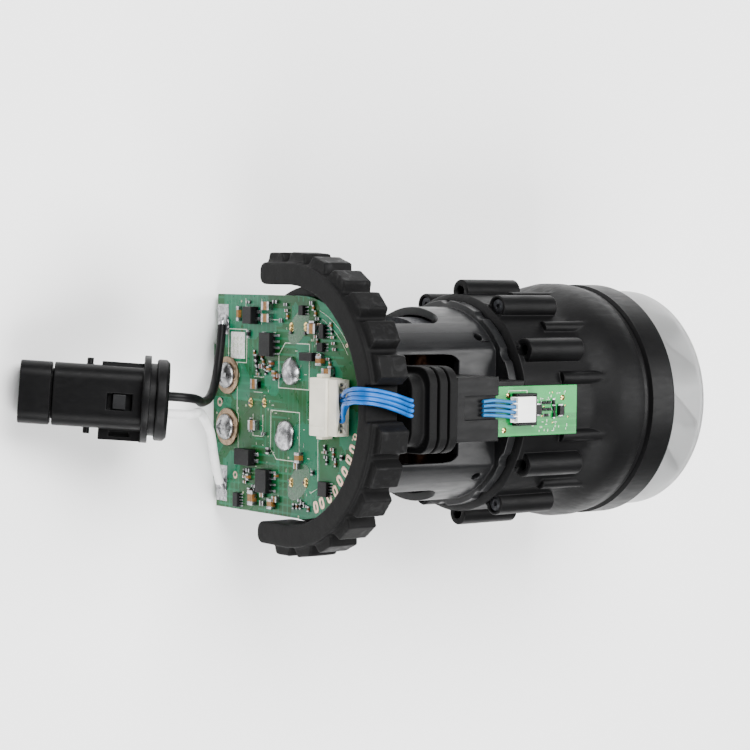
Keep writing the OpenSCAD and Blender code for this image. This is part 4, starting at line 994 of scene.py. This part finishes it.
class ConnectorsOperator(bpy.types.Operator):
    """Makes the contacts and tabs of the control board's connector and the sensor board's connector"""
    bl_idname = "fan_motor.connectors"
    bl_label = "Connectors"

    def execute(self, context):
        low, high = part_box("board_plug")
        header_low, header_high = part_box("board_header")
        ways = 10
        pitch = 0.001
        middle = (low.y + high.y) / 2
        contacts = bmesh.new()
        for k in range(ways):
            y = middle + (k - (ways - 1) / 2) * pitch
            add_box(contacts, (-0.0026, y - 0.00016, high.z - 0.0011),
                    (-0.0018, y + 0.00016, high.z - 0.0002))
        mesh_piece("connector_contacts", contacts, "solder", 0.00004)
        ridges = bmesh.new()
        for y in (header_low.y + 0.0016, header_high.y - 0.0016):
            add_box(ridges, (header_low.x - 0.0001, y - 0.0004, header_low.z + 0.0004),
                    (header_low.x + 0.0002, y + 0.0004, header_high.z - 0.0006))
        for side in (-1, 1):
            y = middle + side * (header_high.y - header_low.y) / 2
            add_box(ridges, (-0.0030, min(y, y + side * 0.0007), header_low.z + 0.0008),
                    (-0.0002, max(y, y + side * 0.0007), header_low.z + 0.0026))
        mesh_piece("connector_ridges", ridges, "cream_nylon", 0.00012)
        legs = bmesh.new()
        for k in range(ways):
            y = middle + (k - (ways - 1) / 2) * pitch
            add_box(legs, (-0.00025, y - 0.00015, header_low.z - 0.0009),
                    (0.00001, y + 0.00015, header_low.z + 0.0002))
        mesh_piece("connector_legs", legs, "solder", 0.00004)
        self.sensor_connector()
        return {"FINISHED"}

    def sensor_connector(self):
        low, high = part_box("sensor_header")
        plug_low, plug_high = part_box("sensor_plug")
        shell = bmesh.new()
        for a, b in ((low.y, low.y + SOCKET_WALL), (high.y - SOCKET_WALL, high.y)):
            add_box(shell, (low.x, a, low.z), (high.x, b, high.z))
            add_box(shell, (low.x + 0.0004, a + 0.0001, high.z - 0.0001),
                    (high.x - 0.0004, b - 0.0001, high.z + 0.00025))
        add_box(shell, (high.x - SOCKET_WALL, low.y + SOCKET_WALL, low.z),
                (high.x, high.y - SOCKET_WALL, high.z))
        add_box(shell, (low.x, low.y + SOCKET_WALL, low.z),
                (high.x - SOCKET_WALL, high.y - SOCKET_WALL, low.z + 0.0004))
        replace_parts(mesh_piece("sensor_socket", shell, "chip_black", 0.0001), "sensor_header")
        body = bmesh.new()
        add_box(body, (plug_low.x + 0.0009, plug_low.y, plug_low.z), (plug_high.x, plug_high.y, plug_high.z))
        ways = 4
        span = (plug_high.y - plug_low.y) / ways
        for k in range(ways + 1):
            y = plug_low.y + span * k
            half = 0.00012
            add_box(body, (plug_low.x, max(y - half, plug_low.y), plug_low.z),
                    (plug_low.x + 0.001, min(y + half, plug_high.y), plug_high.z))
        add_box(body, (plug_low.x, plug_low.y, plug_low.z),
                (plug_low.x + 0.001, plug_high.y, plug_low.z + 0.0003))
        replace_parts(mesh_piece("sensor_plug_body", body, "white_nylon", 0.0001), "sensor_plug")


class WiresOperator(bpy.types.Operator):
    """Makes the blue sensor wires and the dark wires on the sensor board"""
    bl_idname = "fan_motor.wires"
    bl_label = "Sensor wires"

    def execute(self, context):
        radius = sizes().wire_d / 2
        plug_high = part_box("board_plug")[1]
        middle = (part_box("board_plug")[0].y + plug_high.y) / 2 / MM
        top, rear = plug_high.z / MM - 1.2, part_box("wire_grommet")[0].x / MM
        ways, gather_y, gather_x = (2, 3, 6, 7), (3.6, 2.9, 1.9, 1.5), (-4.2, -3.1, -3.1, -4.2)
        row_y, entry_y, row_rise = (5.1, 4.26, 3.42, 2.58), (2.6, 1.6, 0.6, -0.4), (0.2, 0.6, 0.5, 0.1)
        for n in range(4):
            a, g, x, r, rise = middle + 4.5 - ways[n], gather_y[n], gather_x[n], row_y[n], row_rise[n]
            drift = entry_y[n] - r
            route = [(-2.2, a, top), (-2.2, a, top + 1.5), ((x - 2.2) / 2, (a + g) / 2, top + 2.9),
                     (x, g, top + 4.4), (x - 0.8, (g + r) / 2, top + 6), (-5.3, r - 0.3, 24),
                     (-5.7, r, 25.7 + rise), (-5, r, 27.4 + rise), (-3.4, r + 0.06 * drift, 28.5 + rise),
                     (-1.4, r + 0.2 * drift, 29 + rise), (0.8, r + 0.4 * drift, 29.1 + rise),
                     (2.9, r + 0.6 * drift, 28.7 + rise), (5, r + 0.8 * drift, 28 + rise / 2),
                     (6.4, r + 0.93 * drift, 27.4 + rise / 2), (rear + 0.2, r + drift, 27.2 + rise / 2)]
            path = [Vector(p) * MM for p in route]
            wire = tube_piece("blue_wire_" + str(n + 1), path, radius, "blue_sheath")
            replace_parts(wire, "sensor_wire_" + str(n + 1))
        top = SENSOR_HIGH.z / MM
        back = SENSOR_LOW.x / MM
        socket_low, socket_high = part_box("sensor_header")
        socket_y = (socket_low.y + socket_high.y) / 2 / MM
        for k in range(4):
            y = socket_y + (k - 1.5)
            route = [(back - 4, y * 0.9 + 0.5, top + 0.75), (back - 1, y + 0.5, top + 0.8),
                     (back + 1, y + 0.35, top + 0.95), (back + 3, y + 0.1, top + 1.05),
                     (socket_low.x / MM + 0.6, y, top + 1.05)]
            tail = tube_piece("wire_tail_" + str(k + 1), [Vector(p) * MM for p in route], radius * 0.85,
                              "dark_blue_sheath")
            if k == 0:
                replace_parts(tail, "sensor_tails")
        return {"FINISHED"}


class SensorDetailOperator(bpy.types.Operator):
    """Makes the small parts, marks and print on the sensor board"""
    bl_idname = "fan_motor.sensor_detail"
    bl_label = "Sensor board detail"

    def execute(self, context):
        cases, ends = bmesh.new(), bmesh.new()
        for low, high in solids("sensor_chips"):
            add_box(cases, low, high)
            wide, deep = high.x - low.x, high.y - low.y
            axis = 0 if wide >= deep else 1
            for start, stop in ((-0.0003, 0.0002), (-0.0002, 0.0003)):
                a, b = low.copy(), high.copy()
                b.z = low.z + (high.z - low.z) * 0.5
                if start == -0.0003:
                    a[axis], b[axis] = low[axis] + start, low[axis] + stop
                else:
                    a[axis], b[axis] = high[axis] + start, high[axis] + stop
                add_box(ends, a, b)
        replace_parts(mesh_piece("sensor_parts", cases, "chip_black", 0.00006), "sensor_chips")
        mesh_piece("sensor_part_ends", ends, "solder", 0.00004)
        marks, rings = bmesh.new(), bmesh.new()
        top = SENSOR_HIGH.z
        x0, y0 = SENSOR_LOW.x, (SENSOR_LOW.y + SENSOR_HIGH.y) / 2

        def strip(x, y, long_x, long_y):
            add_box(marks, (x0 + x * MM, y0 + y * MM, top - 0.00001),
                    (x0 + (x + long_x) * MM, y0 + (y + long_y) * MM, top + 0.00002))

        for x, y, long_x, long_y in ((3.3, 4.1, 5.2, 0.16), (3.3, 3.2, 0.16, 1.0), (8.4, 3.2, 0.16, 1.0),
                                     (9.2, -2.0, 0.5, 0.14), (9.2, -2.8, 0.14, 0.8), (10.2, -2.8, 0.5, 0.14)):
            strip(x, y, long_x, long_y)
        draw = random.Random(3)
        for _ in range(34):
            x = draw.uniform(9.4, 19.6)
            y = draw.choice((-3.4, -2.7, 2.6, 3.3, -4.2, 1.9)) + draw.uniform(-0.3, 0.3)
            long = draw.choice(((0.14, 0.6), (0.5, 0.14), (0.14, 0.4)))
            strip(x, y, *long)
        mesh_piece("sensor_print", marks, "print")
        for x, y in ((2.4, -4.0 + 0.2), (18.3, 2.5), (3.4, 4.1 - 0.9)):
            spot = (x0 + x * MM, y0 + y * MM, top)
            add_turned(rings, [(0.0006, -0.00001), (0.0006, 0.00003), (0, 0.00003)], spot,
                       axis=(0, 0, 1), steps=24)
        for _ in range(10):
            spot = (x0 + draw.uniform(9, 20) * MM, y0 + draw.uniform(-4, 4) * MM, top)
            add_turned(rings, [(0.0002, -0.00001), (0.0002, 0.00003), (0, 0.00003)], spot,
                       axis=(0, 0, 1), steps=12)
        mesh_piece("sensor_marks", rings, "contact_gold")
        return {"FINISHED"}


OPERATORS = (StageOperator, LeadsOperator, CadPartsOperator, RubberOperator, SmallPartsOperator,
             BoardPrintOperator, SolderOperator, ConnectorsOperator, WiresOperator, SensorDetailOperator)


class FanMotorPanel(bpy.types.Panel):
    """Lists the pieces of the fan motor module"""
    bl_idname = "VIEW3D_PT_fan_motor"
    bl_label = "Fan Motor Module"
    bl_space_type = "VIEW_3D"
    bl_region_type = "UI"
    bl_category = "Fan Motor"

    def draw(self, context):
        for settings in (context.scene.fan_motor_sizes, context.scene.fan_motor_colours):
            box = self.layout.box()
            for name in settings.__annotations__:
                box.prop(settings, name)
        column = self.layout.column(align=True)
        for operator in OPERATORS:
            column.operator(operator.bl_idname)


CLASSES = (ModuleSizes, ModuleColours, *OPERATORS, FanMotorPanel)


def register():
    for each in CLASSES:
        bpy.utils.register_class(each)
    bpy.types.Scene.fan_motor_sizes = bpy.props.PointerProperty(type=ModuleSizes)
    bpy.types.Scene.fan_motor_colours = bpy.props.PointerProperty(type=ModuleColours)


def unregister():
    del bpy.types.Scene.fan_motor_colours
    del bpy.types.Scene.fan_motor_sizes
    for each in reversed(CLASSES):
        bpy.utils.unregister_class(each)


def main():
    register()
    bpy.ops.fan_motor.stage()
    bpy.ops.fan_motor.leads()
    bpy.ops.fan_motor.cad_parts()
    bpy.ops.fan_motor.rubber()
    bpy.ops.fan_motor.small_parts()
    bpy.ops.fan_motor.board_print()
    bpy.ops.fan_motor.solder()
    bpy.ops.fan_motor.connectors()
    bpy.ops.fan_motor.wires()
    bpy.ops.fan_motor.sensor_detail()


if __name__ == "__main__":
    main()
